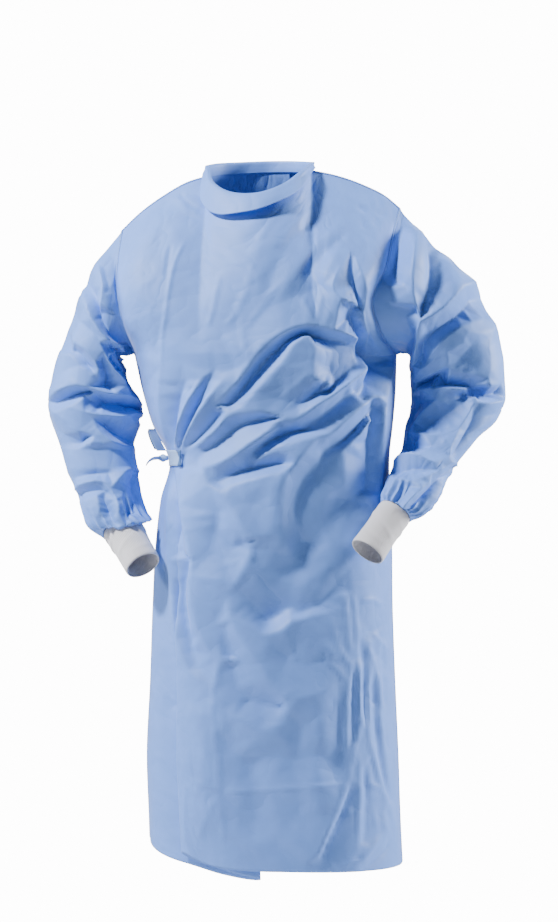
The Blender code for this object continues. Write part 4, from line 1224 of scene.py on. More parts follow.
def lay_grid(work: bmesh.types.BMesh, cloth: Cloth) -> None:
    """Adds a cloth's grid to a bmesh, with its own lengths as a UV map."""
    rows, columns = cloth.grid.shape[:2]
    spans = columns if cloth.closed else columns - 1
    uv = work.loops.layers.uv.get(UV_NAME) or work.loops.layers.uv.new(UV_NAME)
    across, length = cloth.lengths()
    made = bmesh.ops.create_grid(work, x_segments=spans, y_segments=rows - 1, size=1.0)
    normals = cloth.normals()
    place, way = {}, {}
    for vert in made["verts"]:
        j = round((vert.co.x + 1) / 2 * spans)
        i = round((vert.co.y + 1) / 2 * (rows - 1))
        place[vert] = (across[j], length[i])
        way[vert] = Vector(normals[i, j % columns])
        vert.co = Vector(cloth.grid[i, j % columns] * MM)
    faces = {face for vert in made["verts"] for face in vert.link_faces}
    for face in faces:
        for loop in face.loops:
            loop[uv].uv = place[loop.vert]
    outward = {face: way[face.verts[0]] for face in faces}
    if cloth.closed:
        bmesh.ops.remove_doubles(work, verts=made["verts"], dist=WELD)
    kept = [face for face in faces if face.is_valid]
    bmesh.ops.recalc_face_normals(work, faces=kept)
    if sum(face.normal.dot(outward[face]) for face in kept) < 0:
        bmesh.ops.reverse_faces(work, faces=kept)


def finish_piece(
    work: bmesh.types.BMesh, name: str, finish: bpy.types.Material
) -> bpy.types.Object:
    """Turns a bmesh into a smooth piece of the gown.

    Args:
        work: the piece's mesh, which is freed.
        name: the piece's name.
        finish: its material.

    Returns:
        The new object, riding on the gown.
    """
    mesh = bpy.data.meshes.new(name)
    work.to_mesh(mesh)
    work.free()
    mesh.materials.append(finish)
    mesh.shade_smooth()
    piece = bpy.data.objects.new(name, mesh)
    bpy.context.scene.collection.objects.link(piece)
    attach(piece, ROOT)
    return piece


def cloth_piece(
    cloth: Cloth, name: str, finish: bpy.types.Material, thickness: float
) -> bpy.types.Object:
    """Builds one stretch of cloth as a thin shell behind its face.

    Args:
        cloth: the cloth.
        name: the piece's name.
        finish: its material.
        thickness: the shell's thickness in millimetres.

    Returns:
        The new object, riding on the gown.
    """
    work = bmesh.new()
    lay_grid(work, cloth)
    piece = finish_piece(work, name, finish)
    shell = piece.modifiers.new("thickness", "SOLIDIFY")
    shell.thickness = thickness * MM
    shell.offset = -1.0
    LOG.info("%s of %d points", name, cloth.grid.shape[0] * cloth.grid.shape[1])
    return piece


def thin(lines: Sequence[Crease]) -> list[Fold]:
    """Returns thin sharp folds along creases, up or down as each crease goes."""
    made = []
    for line in lines:
        rows = np.asarray(line.knots, float)
        way = 1.0 if rows[:, 2].sum() > 0 else -1.0
        order = rows if tuple(rows[0, :2]) <= tuple(rows[-1, :2]) else rows[::-1]
        made.append(crease(tuple((x, y) for x, y, _ in order), way * THIN_DEPTH, THIN_REACH))
    return made


def crumpled(patches: Sequence[Crumple]) -> list[Fold]:
    """Returns the creases of several patches."""
    return [fold for crumple in patches for fold in crumple.folds()]


def behind(folds: Sequence[Fold]) -> list[Fold]:
    """Returns like folds for the far side, lower and shallower."""
    return [
        replace(
            fold,
            path=tuple((x, y + BEHIND_DROP) for x, y in fold.path),
            depth=fold.depth * BEHIND_SHARE,
        )
        for fold in folds
    ]


def socket(group: bpy.types.NodeTree, name: str, way: str, kind: str) -> None:
    """Adds an input or output socket to a node group."""
    group.interface.new_socket(name=name, in_out=way, socket_type=kind)


class Nodes:
    """Adds and links the nodes of one tree."""

    def __init__(self, tree: bpy.types.NodeTree) -> None:
        self.tree = tree

    def add(self, kind: str, **values: object) -> bpy.types.Node:
        """Adds a node and sets its properties or, by name, its inputs.

        Args:
            kind: the node's type.
            **values: properties, or inputs as links or values. An underscore in an
                input's name stands for a space.

        Returns:
            The new node.
        """
        node = self.tree.nodes.new(kind)
        for name, value in values.items():
            if hasattr(node, name):
                setattr(node, name, value)
                continue
            self.feed(node.inputs[name.replace("_", " ")], value)
        return node

    def feed(self, target: bpy.types.NodeSocket, value: object) -> None:
        """Links an output to an input, or sets the input's value."""
        if isinstance(value, bpy.types.NodeSocket):
            self.tree.links.new(value, target)
        else:
            target.default_value = value

    def math(self, operation: str, *values: object) -> bpy.types.NodeSocket:
        """Returns the result of a Math node on values or links."""
        node = self.tree.nodes.new("ShaderNodeMath")
        node.operation = operation
        for target, value in zip(node.inputs, values):
            self.feed(target, value)
        return node.outputs[0]

    def ramp(
        self, value: object, low: float, high: float, start: float = 0.0, end: float = 1.0
    ) -> bpy.types.NodeSocket:
        """Returns a value mapped smoothly from low..high to start..end."""
        node = self.tree.nodes.new("ShaderNodeMapRange")
        node.interpolation_type = "SMOOTHSTEP"
        for target, given in zip(node.inputs, (value, low, high, start, end)):
            self.feed(target, given)
        return node.outputs[0]

    def noise(self, place: bpy.types.NodeSocket, scale: object, detail: float) -> bpy.types.Node:
        """Returns a noise texture at a place, with a scale and a detail."""
        return self.add("ShaderNodeTexNoise", Vector=place, Scale=scale, Detail=detail)

    def bump(
        self, height: bpy.types.NodeSocket, strength: float, distance: float,
        under: Optional[bpy.types.NodeSocket] = None,
    ) -> bpy.types.NodeSocket:
        """Returns normals bent by a height.

        Args:
            height: the height.
            strength: how much of it shows.
            distance: how far a height of 1 stands up, in metres.
            under: the normals that it lies on.
        """
        node = self.add("ShaderNodeBump", Height=height)
        node.inputs["Strength"].default_value = strength
        node.inputs["Distance"].default_value = distance
        if under is not None:
            self.feed(node.inputs["Normal"], under)
        return node.outputs[0]

    def mix(self, share: object, first: object, second: object) -> bpy.types.NodeSocket:
        """Returns a mix of two colours."""
        node = self.tree.nodes.new("ShaderNodeMix")
        node.data_type = "RGBA"
        self.feed(node.inputs["Factor"], share)
        self.feed(node.inputs[6], first)
        self.feed(node.inputs[7], second)
        return node.outputs[2]


def new_material(name: str) -> tuple[bpy.types.Material, Nodes, bpy.types.Node]:
    """Returns a new material, its nodes and its shader."""
    made = bpy.data.materials.new(name)
    made.use_nodes = True
    return made, Nodes(made.node_tree), made.node_tree.nodes["Principled BSDF"]


def scaled(colour: Colour, share: float) -> Colour:
    """Returns a colour made lighter or darker by a share, up to white."""
    red, green, blue, clear = colour
    return min(1.0, share * red), min(1.0, share * green), min(1.0, share * blue), clear


def bond_group() -> bpy.types.NodeTree:
    """Builds the group that draws bonded cloth: rows of pressed points and loose fibres.

    Returns:
        A group that takes the cloth's own place in metres and a pitch, and gives the
        pressed points as a mask, the cloth's height and a slow cloudiness.
    """
    group = bpy.data.node_groups.new("bonded_cloth", "ShaderNodeTree")
    socket(group, "Place", "INPUT", "NodeSocketVector")
    socket(group, "Pitch", "INPUT", "NodeSocketFloat")
    socket(group, "Points", "OUTPUT", "NodeSocketFloat")
    socket(group, "Height", "OUTPUT", "NodeSocketFloat")
    socket(group, "Cloud", "OUTPUT", "NodeSocketFloat")
    nodes = Nodes(group)
    # a pressed point's edge and core as shares of the pitch, and how much it is flattened
    edge, core, flattened = 0.34, 0.20, 1.8
    fibre_scale, fibre_height, point_depth, cloud_scale = 900.0, 0.5, 0.6, 26.0
    given = nodes.add("NodeGroupInput")
    split = nodes.add("ShaderNodeSeparateXYZ", Vector=given.outputs["Place"])
    u = nodes.math("DIVIDE", split.outputs["X"], given.outputs["Pitch"])
    v = nodes.math("DIVIDE", split.outputs["Y"], given.outputs["Pitch"])
    row = nodes.math("FLOOR", v)
    shift = nodes.math("MULTIPLY", nodes.math("MODULO", nodes.math("ABSOLUTE", row), 2.0), 0.5)
    du = nodes.math("SUBTRACT", nodes.math("FRACT", nodes.math("ADD", u, shift)), 0.5)
    dv = nodes.math("SUBTRACT", nodes.math("FRACT", v), 0.5)
    tall = nodes.math("MULTIPLY", nodes.math("POWER", dv, 2.0), flattened)
    away = nodes.math("SQRT", nodes.math("ADD", nodes.math("POWER", du, 2.0), tall))
    points = nodes.ramp(away, edge, core)
    fibres = nodes.noise(given.outputs["Place"], fibre_scale, 3.0)
    clouds = nodes.noise(given.outputs["Place"], cloud_scale, 4.0)
    raised = nodes.math("MULTIPLY", fibres.outputs[0], fibre_height)
    height = nodes.math("SUBTRACT", raised, nodes.math("MULTIPLY", points, point_depth))
    out = nodes.add("NodeGroupOutput")
    nodes.feed(out.inputs["Points"], points)
    nodes.feed(out.inputs["Height"], height)
    nodes.feed(out.inputs["Cloud"], clouds.outputs[0])
    return group


def crinkle_group() -> bpy.types.NodeTree:
    """Builds the group that gives the small crinkles of stiff cloth as a height."""
    group = bpy.data.node_groups.new("crinkle", "ShaderNodeTree")
    socket(group, "Place", "INPUT", "NodeSocketVector")
    socket(group, "Scale", "INPUT", "NodeSocketFloat")
    socket(group, "Height", "OUTPUT", "NodeSocketFloat")
    nodes = Nodes(group)
    # how finely and how far, in metres, the crinkles bend, and each layer's scale and height
    bend_scale, bend_reach = 18.0, 0.03
    layers = ((1.0, 1.0), (2.7, 0.45))
    given = nodes.add("NodeGroupInput")
    bend = nodes.noise(given.outputs["Place"], bend_scale, 2.0)
    push = nodes.add("ShaderNodeVectorMath", operation="SCALE")
    nodes.feed(push.inputs[0], bend.outputs["Color"])
    push.inputs["Scale"].default_value = bend_reach
    moved = nodes.add("ShaderNodeVectorMath", operation="ADD")
    nodes.feed(moved.inputs[0], given.outputs["Place"])
    nodes.feed(moved.inputs[1], push.outputs[0])
    heights = []
    for share, weight in layers:
        scale = nodes.math("MULTIPLY", given.outputs["Scale"], share)
        noise = nodes.noise(moved.outputs[0], scale, 1.0)
        ridge = nodes.math("ABSOLUTE", nodes.math("SUBTRACT", noise.outputs[0], 0.5))
        heights.append(nodes.math("MULTIPLY", ridge, weight))
    height = nodes.math("ADD", *heights)
    out = nodes.add("NodeGroupOutput")
    nodes.feed(out.inputs["Height"], height)
    return group


@dataclass(frozen=True)
class BondedFinish:
    """Light blue bonded cloth with a slight sheen.

    Args:
        name: the material's name.
        colour, pressed: the cloth's colour and that of its pressed points.
        roughness: how matt it is.
        sheen: how much light its fibres catch at a slant.
        pitch: the spacing of the pressed points, in metres.
        emboss, crinkle: the depth of the points and of the small crinkles, in metres.
        emboss_strength, crinkle_strength: how much of those depths shows.
        crinkle_scale: how many crinkles lie on a metre.
        pressed_share: how much of the pressed colour the points take.
        smoother: how much less matt the points are.
        paler: how much paler the cloth's clouds are.
        sheen_roughness, specular: how wide its sheen spreads, and its gloss.
    """

    name: str
    colour: Colour
    pressed: Colour
    roughness: float = 0.6
    sheen: float = 0.25
    pitch: float = 0.0021
    emboss: float = 0.00008
    crinkle: float = 0.011
    emboss_strength: float = 0.5
    crinkle_strength: float = 0.6
    crinkle_scale: float = 9.0
    pressed_share: float = 0.35
    smoother: float = 0.12
    paler: float = 1.16
    sheen_roughness: float = 0.35
    specular: float = 0.45

    def build(self, bonds: bpy.types.NodeTree, crinkles: bpy.types.NodeTree) -> bpy.types.Material:
        """Builds the material.

        Args:
            bonds: the group that draws the bonded cloth.
            crinkles: the group that gives its small crinkles.

        Returns:
            The finished material.
        """
        made, nodes, shader = new_material(self.name)
        place = nodes.add("ShaderNodeUVMap", uv_map=UV_NAME).outputs[0]
        cloth = nodes.add("ShaderNodeGroup", node_tree=bonds)
        nodes.feed(cloth.inputs["Place"], place)
        cloth.inputs["Pitch"].default_value = self.pitch
        folds = nodes.add("ShaderNodeGroup", node_tree=crinkles)
        nodes.feed(folds.inputs["Place"], place)
        folds.inputs["Scale"].default_value = self.crinkle_scale
        pressed = nodes.math("MULTIPLY", cloth.outputs["Points"], self.pressed_share)
        colour = nodes.mix(pressed, self.colour, self.pressed)
        clouds = nodes.ramp(cloth.outputs["Cloud"], 0.35, 0.7, 0.0, 0.35)
        nodes.feed(shader.inputs["Base Color"], nodes.mix(clouds, colour, scaled(self.colour, self.paler)))
        smooth = self.roughness - self.smoother
        matt = nodes.ramp(cloth.outputs["Points"], 0.0, 1.0, self.roughness, smooth)
        nodes.feed(shader.inputs["Roughness"], matt)
        wide = nodes.bump(folds.outputs["Height"], self.crinkle_strength, self.crinkle)
        fine = nodes.bump(cloth.outputs["Height"], self.emboss_strength, self.emboss, wide)
        nodes.feed(shader.inputs["Normal"], fine)
        shader.inputs["Sheen Weight"].default_value = self.sheen
        shader.inputs["Sheen Roughness"].default_value = self.sheen_roughness
        shader.inputs["Specular IOR Level"].default_value = self.specular
        return made


@dataclass(frozen=True)
class KnitFinish:
    """White rib knit: soft, matt, with a column of stitches on each rib.

    Args:
        name: the material's name.
        colour, shade: the yarn's colour and the painted shade of the hollows between stitches.
        stitch: the height of a stitch, in metres.
        rib: the width of a rib, in metres.
        slant: how steeply the two legs of a stitch meet.
        fuzz_scale, fuzz: how fine its loose fibres are, and how high.
        relief, relief_strength: the depth of the stitches in metres, and how much shows.
        roughness, sheen: how matt it is, and how much light it catches at a slant.
    """

    name: str
    colour: Colour
    shade: Colour
    stitch: float = 0.0015
    rib: float = 0.0022
    slant: float = 2.2
    fuzz_scale: float = 1400.0
    fuzz: float = 0.6
    relief: float = 0.00025
    relief_strength: float = 0.7
    roughness: float = 0.88
    sheen: float = 0.35

    def build(self) -> bpy.types.Material:
        """Builds the material."""
        made, nodes, shader = new_material(self.name)
        split = nodes.add("ShaderNodeSeparateXYZ")
        nodes.feed(split.inputs[0], nodes.add("ShaderNodeUVMap", uv_map=UV_NAME).outputs[0])
        u = nodes.math("MULTIPLY", split.outputs["X"], math.tau / self.rib)
        v = nodes.math("MULTIPLY", split.outputs["Y"], math.tau / self.stitch)
        legs = nodes.math("MULTIPLY", nodes.math("ABSOLUTE", nodes.math("SINE", u)), self.slant)
        loops = nodes.ramp(nodes.math("SINE", nodes.math("ADD", v, legs)), -1.0, 1.0)
        fuzz = nodes.noise(nodes.add("ShaderNodeTexCoord").outputs["Object"], self.fuzz_scale, 3.0)
        # the hollows between stitches take the darker colour, which is painted shade
        nodes.feed(shader.inputs["Base Color"], nodes.mix(loops, self.shade, self.colour))
        height = nodes.math("ADD", loops, nodes.math("MULTIPLY", fuzz.outputs[0], self.fuzz))
        nodes.feed(shader.inputs["Normal"], nodes.bump(height, self.relief_strength, self.relief))
        shader.inputs["Roughness"].default_value = self.roughness
        shader.inputs["Sheen Weight"].default_value = self.sheen
        return made


@dataclass(frozen=True)
class PlainFinish:
    """A plain finish with a fine grain, for thread and for the studio floor.

    Args:
        name: the material's name.
        colour: its colour.
        roughness: how matt it is.
        grain: the grain's scale.
        darker: the share of the colour that its darker grains have.
    """

    name: str
    colour: Colour
    roughness: float = 0.6
    grain: float = 600.0
    darker: float = 0.9

    def build(self) -> bpy.types.Material:
        """Builds the material."""
        made, nodes, shader = new_material(self.name)
        noise = nodes.noise(nodes.add("ShaderNodeTexCoord").outputs["Object"], self.grain, 2.0)
        grain = nodes.mix(noise.outputs[0], scaled(self.colour, self.darker), self.colour)
        nodes.feed(shader.inputs["Base Color"], grain)
        shader.inputs["Roughness"].default_value = self.roughness
        return made


@dataclass
class Finishes:
    """The gown's materials: its cloth, tape, a dark blue that paints the shade on the turned tape, knit
    and thread, and the floor's.
    """

    cloth: bpy.types.Material
    tape: bpy.types.Material
    turned: bpy.types.Material
    knit: bpy.types.Material
    thread: bpy.types.Material
    floor: bpy.types.Material

    @classmethod
    def make(cls) -> "Finishes":
        """Builds every finish once."""
        bonds, crinkles = bond_group(), crinkle_group()
        flat = 0.0002
        cloth = BondedFinish("gown_cloth_finish", (0.148, 0.31, 0.82, 1.0), (0.11, 0.262, 0.76, 1.0))
        tape = BondedFinish(
            "tie_tape_finish", (0.30, 0.48, 0.80, 1.0), (0.24, 0.42, 0.75, 1.0), crinkle=flat
        )
        # a dark blue that paints the shade at the tab's turned end, far darker than the tape itself
        turned = BondedFinish(
            "tie_painted_shade_finish", (0.05, 0.13, 0.34, 1.0), (0.04, 0.11, 0.30, 1.0), crinkle=flat
        )
        knit = KnitFinish("cuff_knit_finish", (0.80, 0.80, 0.84, 1.0), (0.58, 0.58, 0.64, 1.0))
        thread = PlainFinish("seam_thread_finish", (0.30, 0.47, 0.76, 1.0))
        floor = PlainFinish("studio_floor_finish", (0.86, 0.86, 0.87, 1.0), 0.7, 4.0)
        return cls(
            cloth.build(bonds, crinkles),
            tape.build(bonds, crinkles),
            turned.build(bonds, crinkles),
            knit.build(),
            thread.build(),
            floor.build(),
        )


@dataclass
class FrontPanel:
    """The front, cut in one piece, with the lap that hangs from the tie.

    Args:
        skirt_rows, chest_rows: the grid's rows below and above the armpits.
        seam_columns, neck_columns: its columns over each shoulder and the neck.
        lap_start, lap_length: how far below the tie the lap opens, and over what length.
        lap_sink: how many times faster than it opens the cloth behind the lap sinks.
        margin: how far from a seam the folds reach their full depth.
        thickness: the cloth's thickness.
        flat: the width and length that it was cut to, in metres; not used.
        area: the cut's area in square metres; not used.
    """

    skirt_rows: int = 216
    chest_rows: int = 84
    seam_columns: int = 56
    neck_columns: int = 40
    lap_start: float = 20.0
    lap_length: float = 560.0
    lap_sink: float = 3.0
    margin: float = 9.0
    thickness: float = 0.6
    flat: tuple[float, float] = (0.66, 1.06)
    area: float = 0.58

    def places(self) -> np.ndarray:
        """Returns the columns' shares of the panel's width."""
        low, high = FRONT_NECK
        return np.concatenate(
            [
                np.linspace(0, low, self.seam_columns + 1)[:-1],
                np.linspace(low, high, self.neck_columns + 1)[:-1],
                np.linspace(high, 1, self.seam_columns + 1),
            ]
        )

    def skirt(self, places: np.ndarray) -> tuple[np.ndarray, np.ndarray]:
        """Returns the rows from the hem to the armpits, and the body's outward directions."""
        plain = np.interp(places, column(PLAIN, "share"), column(PLAIN, "value"))
        drawn, hem = read(DRAWN, "value", places), read(FRONT_HEM, "value", places)
        lapped, depth = read(LAP, "turn", places), read(LAP, "depth", places)
        rows, leans = [], []
        for up in np.linspace(0, 1, self.skirt_rows + 1)[:-1]:
            height = hem * (1 - up) + ARMPIT * up
            low = TIE_LEVEL - self.lap_start
            pulled = eased((ARMPIT - height) / (ARMPIT - low))
            opened = np.clip((low - height) / self.lap_length, 0, 1)
            turn = (plain * (1 - pulled) + drawn * pulled) * (1 - opened) + lapped * opened
            angle = np.radians(turn)
            inward = np.stack([-np.cos(angle), -np.sin(angle), 0 * turn], axis=-1)
            sunk = depth * np.clip(opened * self.lap_sink, 0, 1)
            rows.append(body_point(turn, height) + inward * sunk[:, None])
            run = body_point(turn + 1, height) - body_point(turn - 1, height)
            leans.append(unit(np.stack([run[:, 1], -run[:, 0], 0 * turn], axis=-1)))
        return np.array(rows), np.array(leans)

    def cloth(self) -> Cloth:
        """Returns the panel's cloth with every fold."""
        places = self.places()
        plain = np.interp(places, column(PLAIN, "share"), column(PLAIN, "value"))
        shares = np.linspace(1, 0, self.chest_rows + 1)
        chest = patch(
            body_point(plain, np.full(len(plain), ARMPIT)),
            top_edge(NECK_FRONT, FRONT_NECK, places),
            along(ARMHOLE_RIGHT_FRONT, shares),
            along(ARMHOLE_LEFT_FRONT, shares),
            FRONT_BULGE,
        )
        skirt, lean = self.skirt(places)
        whole = np.concatenate([skirt, chest])
        cloth = Cloth(whole, 1, seams="right left top", margin=self.margin)
        over_chest = cloth.normals()[len(skirt) :]
        cloth.lean = np.concatenate([lean, over_chest])
        cloth.fold(FRONT_FOLDS, Facing.FRONT, BODY_RUMPLES, FRONT_FACETS)
        cloth.fold(crumpled(FRONT_CRUMPLES) + thin(THIN_CREASES + PACKING_CREASES), Facing.FRONT)
        return cloth

    def build(self, finishes: Finishes) -> Cloth:
        """Builds the panel and returns its cloth, which other pieces lie on."""
        cloth = self.cloth()
        piece = cloth_piece(cloth, "gown_front", finishes.cloth, self.thickness)
        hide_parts("front_panel")
        return cloth


@dataclass
class BackPanels:
    """The two back panels, the wearer's left one lapped over the right one.

    Args:
        skirt_rows, chest_rows: the grid's rows below and above the armpits.
        seam_columns, collar_columns, lap_columns: its columns between the seam, the
            neck's corner and the free edges.
        fine_columns: how finely the upper back is divided before its columns are placed.
        margin: how far from a seam the folds reach their full depth.
        thickness: the cloth's thickness.
        flat_under, flat_over: the sizes that the panels were cut to, in metres; not used.
        area_share: the cut's share of that rectangle; not used.
    """

    skirt_rows: int = 200
    chest_rows: int = 76
    seam_columns: int = 40
    collar_columns: int = 10
    lap_columns: int = 40
    fine_columns: int = 640
    margin: float = 10.0
    thickness: float = 0.6
    flat_under: tuple[float, float] = (0.40, 1.06)
    flat_over: tuple[float, float] = (0.48, 1.07)
    area_share: float = 0.86

    def places(self, level: float) -> np.ndarray:
        """Returns the columns' shares of the back at one height."""
        heights = column(BACK_EDGES, "height")[::-1]
        keys = [curve(heights, column(BACK_EDGES, name)[::-1], level) for name in Edge._fields[1:]]
        side = [self.seam_columns, self.collar_columns]
        counts = [*side, self.lap_columns, *side[::-1]]
        stops = np.array([0.0, *(float(key) for key in keys), 1.0])
        return np.interp(np.arange(sum(counts) + 1), np.cumsum([0, *counts]), stops)

    def surface(self) -> tuple[np.ndarray, np.ndarray]:
        """Returns the whole back's column places and its points, row by row."""
        hem_level = BACK_HEM[1].value
        rows, places_of_rows = [], []
        for up in np.linspace(0, 1, self.skirt_rows + 1)[:-1]:
            places = self.places(hem_level * (1 - up) + ARMPIT * up)
            height = read(BACK_HEM, "value", places) * (1 - up) + ARMPIT * up
            rows.append(body_point(180 * (1 - places), height))
            places_of_rows.append(places)
        fine = np.linspace(0, 1, self.fine_columns + 1)
        shares = np.linspace(1, 0, self.chest_rows + 1)
        upper = patch(
            body_point(180 * (1 - fine), np.full(len(fine), ARMPIT)),
            top_edge(NECK_BACK, BACK_NECK, fine),
            along(ARMHOLE_RIGHT_BACK, shares),
            along(ARMHOLE_LEFT_BACK, shares),
            BACK_BULGE,
        )
        for row, share in zip(upper, np.linspace(0, 1, self.chest_rows + 1)):
            places = self.places(ARMPIT * (1 - share) + BACK_EDGES[0].height * share)
            rows.append(np.stack([np.interp(places, fine, row[:, k]) for k in range(3)], axis=-1))
            places_of_rows.append(places)
        return np.array(places_of_rows), np.array(rows)

    def build(self, finishes: Finishes) -> tuple[Cloth, Cloth]:
        """Builds both panels and returns the under and the over one's cloth."""
        places, grid = self.surface()
        whole = Cloth(grid, -1, seams="right left top", margin=self.margin)
        from_top = edge_fade(grid, "top", LAP_TOP_EASE)
        lean = whole.normals() * np.stack([np.ones_like(from_top)] * 2 + [from_top], axis=-1)
        whole.fold(BACK_FOLDS, Facing.BACK, BODY_RUMPLES, BACK_FACETS)
        whole.fold(crumpled(BACK_CRUMPLES), Facing.BACK)
        step = OVERLAP_STEP * np.clip((OVERLAP_END - places) / OVERLAP_EASE, 0, 1)
        start = self.seam_columns + self.collar_columns
        end = start + self.lap_columns + 1
        raised = whole.grid + unit(lean) * step[..., None]
        under = Cloth(whole.grid[:, :end], -1)
        over = Cloth(raised[:, start:], -1)
        for name, node, cloth, flat in (
            ("gown_back_under", "back_panel_right", under, self.flat_under),
            ("gown_back_over", "back_panel_left", over, self.flat_over),
        ):
            piece = cloth_piece(cloth, name, finishes.cloth, self.thickness)
            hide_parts(node)
        return under, over


class Wrinkle(NamedTuple):
    """A soft wrinkle round a cuff: where it runs, how it leans and how deep it is."""

    share: float
    lean: float
    depth: float


CUFF_WRINKLES = [Wrinkle(0.3, 0.10, 1.2), Wrinkle(0.52, -0.12, 0.9), Wrinkle(0.72, 0.08, 0.7)]


@dataclass
class Cuff:
    """A rib-knit cuff from the sleeve's end to its open mouth.

    Args:
        name, node: the piece's name and the solid it stands for.
        last: the sleeve's last ring.
        mouth: the open end.
        outward: the side of the grid that faces out.
        ribs: how many ribs go round.
        rings, points: how finely the tube is divided.
        rib_height: how far a rib stands up.
        waist: how far the cuff's middle is drawn in.
        wrinkle_width: how wide a wrinkle is, as a share of the cuff's length.
        roll, roll_length: how far the mouth turns in, and over what share of the length.
        sink, sink_length: the same for the end under the sleeve.
        thickness: the knit's thickness.
    """

    name: str
    node: str
    last: Ring
    mouth: Mouth
    outward: int
    ribs: int = 76
    rings: int = 36
    points: int = 304
    rib_height: float = 0.55
    waist: float = 1.5
    wrinkle_width: float = 0.05
    roll: float = 0.9
    roll_length: float = 0.06
    sink: float = 1.2
    sink_length: float = 0.08
    thickness: float = 1.0

    def ring(self, share: float, angle: np.ndarray) -> np.ndarray:
        """Returns one ring of the cuff, at a share of its length."""
        last, end = self.last, self.mouth
        start = np.array(
            [(last.outer_x + last.inner_x) / 2, last.middle_y, (last.outer_z + last.inner_z) / 2]
        )
        run = np.array([end.x, end.y, end.z]) - start
        width = np.array([last.outer_x - last.inner_x, 0.0, last.outer_z - last.inner_z]) / 2
        ahead = run / np.linalg.norm(run)
        width = width - ahead * (width @ ahead)
        half = np.linalg.norm(width) * (1 - share) + end.half_width * share
        half = half - self.waist * np.sin(np.pi * share)
        depth = last.half_depth * (1 - share) + end.half_depth * share
        width = width / np.linalg.norm(width)
        front = np.cross(width, ahead)
        front *= np.sign(-front[1])
        rim = np.cos(angle)[:, None] * width * half + np.sin(angle)[:, None] * front * depth
        return start + run * share + rim

    def build(self, finishes: Finishes) -> None:
        """Builds the cuff with its ribs, a few soft wrinkles and a rolled mouth."""
        angle = np.arange(self.points) * math.tau / self.points
        shares = np.linspace(0, 1, self.rings)
        grid = np.array([self.ring(share, angle) for share in shares])
        out = normals_of(grid, True, self.outward)
        ribs = self.rib_height * np.abs(np.sin(self.ribs / 2 * angle))[None]
        raised = np.zeros(grid.shape[:2])
        for wrinkle in CUFF_WRINKLES:
            turned = angle + wrinkle.share * 9
            line = shares[:, None] - wrinkle.share - wrinkle.lean * np.sin(turned)[None]
            crest = wrinkle.depth * np.exp(-((line / self.wrinkle_width) ** 2))
            raised += crest * (0.5 + 0.5 * np.cos(angle * 2 + wrinkle.share * 20))[None]
        rolled = self.roll * eased((shares - (1 - self.roll_length)) / self.roll_length)[:, None]
        sunk = self.sink * (1 - eased(shares / self.sink_length))[:, None]
        cloth = Cloth(grid + out * (ribs + raised - rolled - sunk)[..., None], self.outward, closed=True)
        piece = cloth_piece(cloth, self.name, finishes.knit, self.thickness)
        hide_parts(self.node)


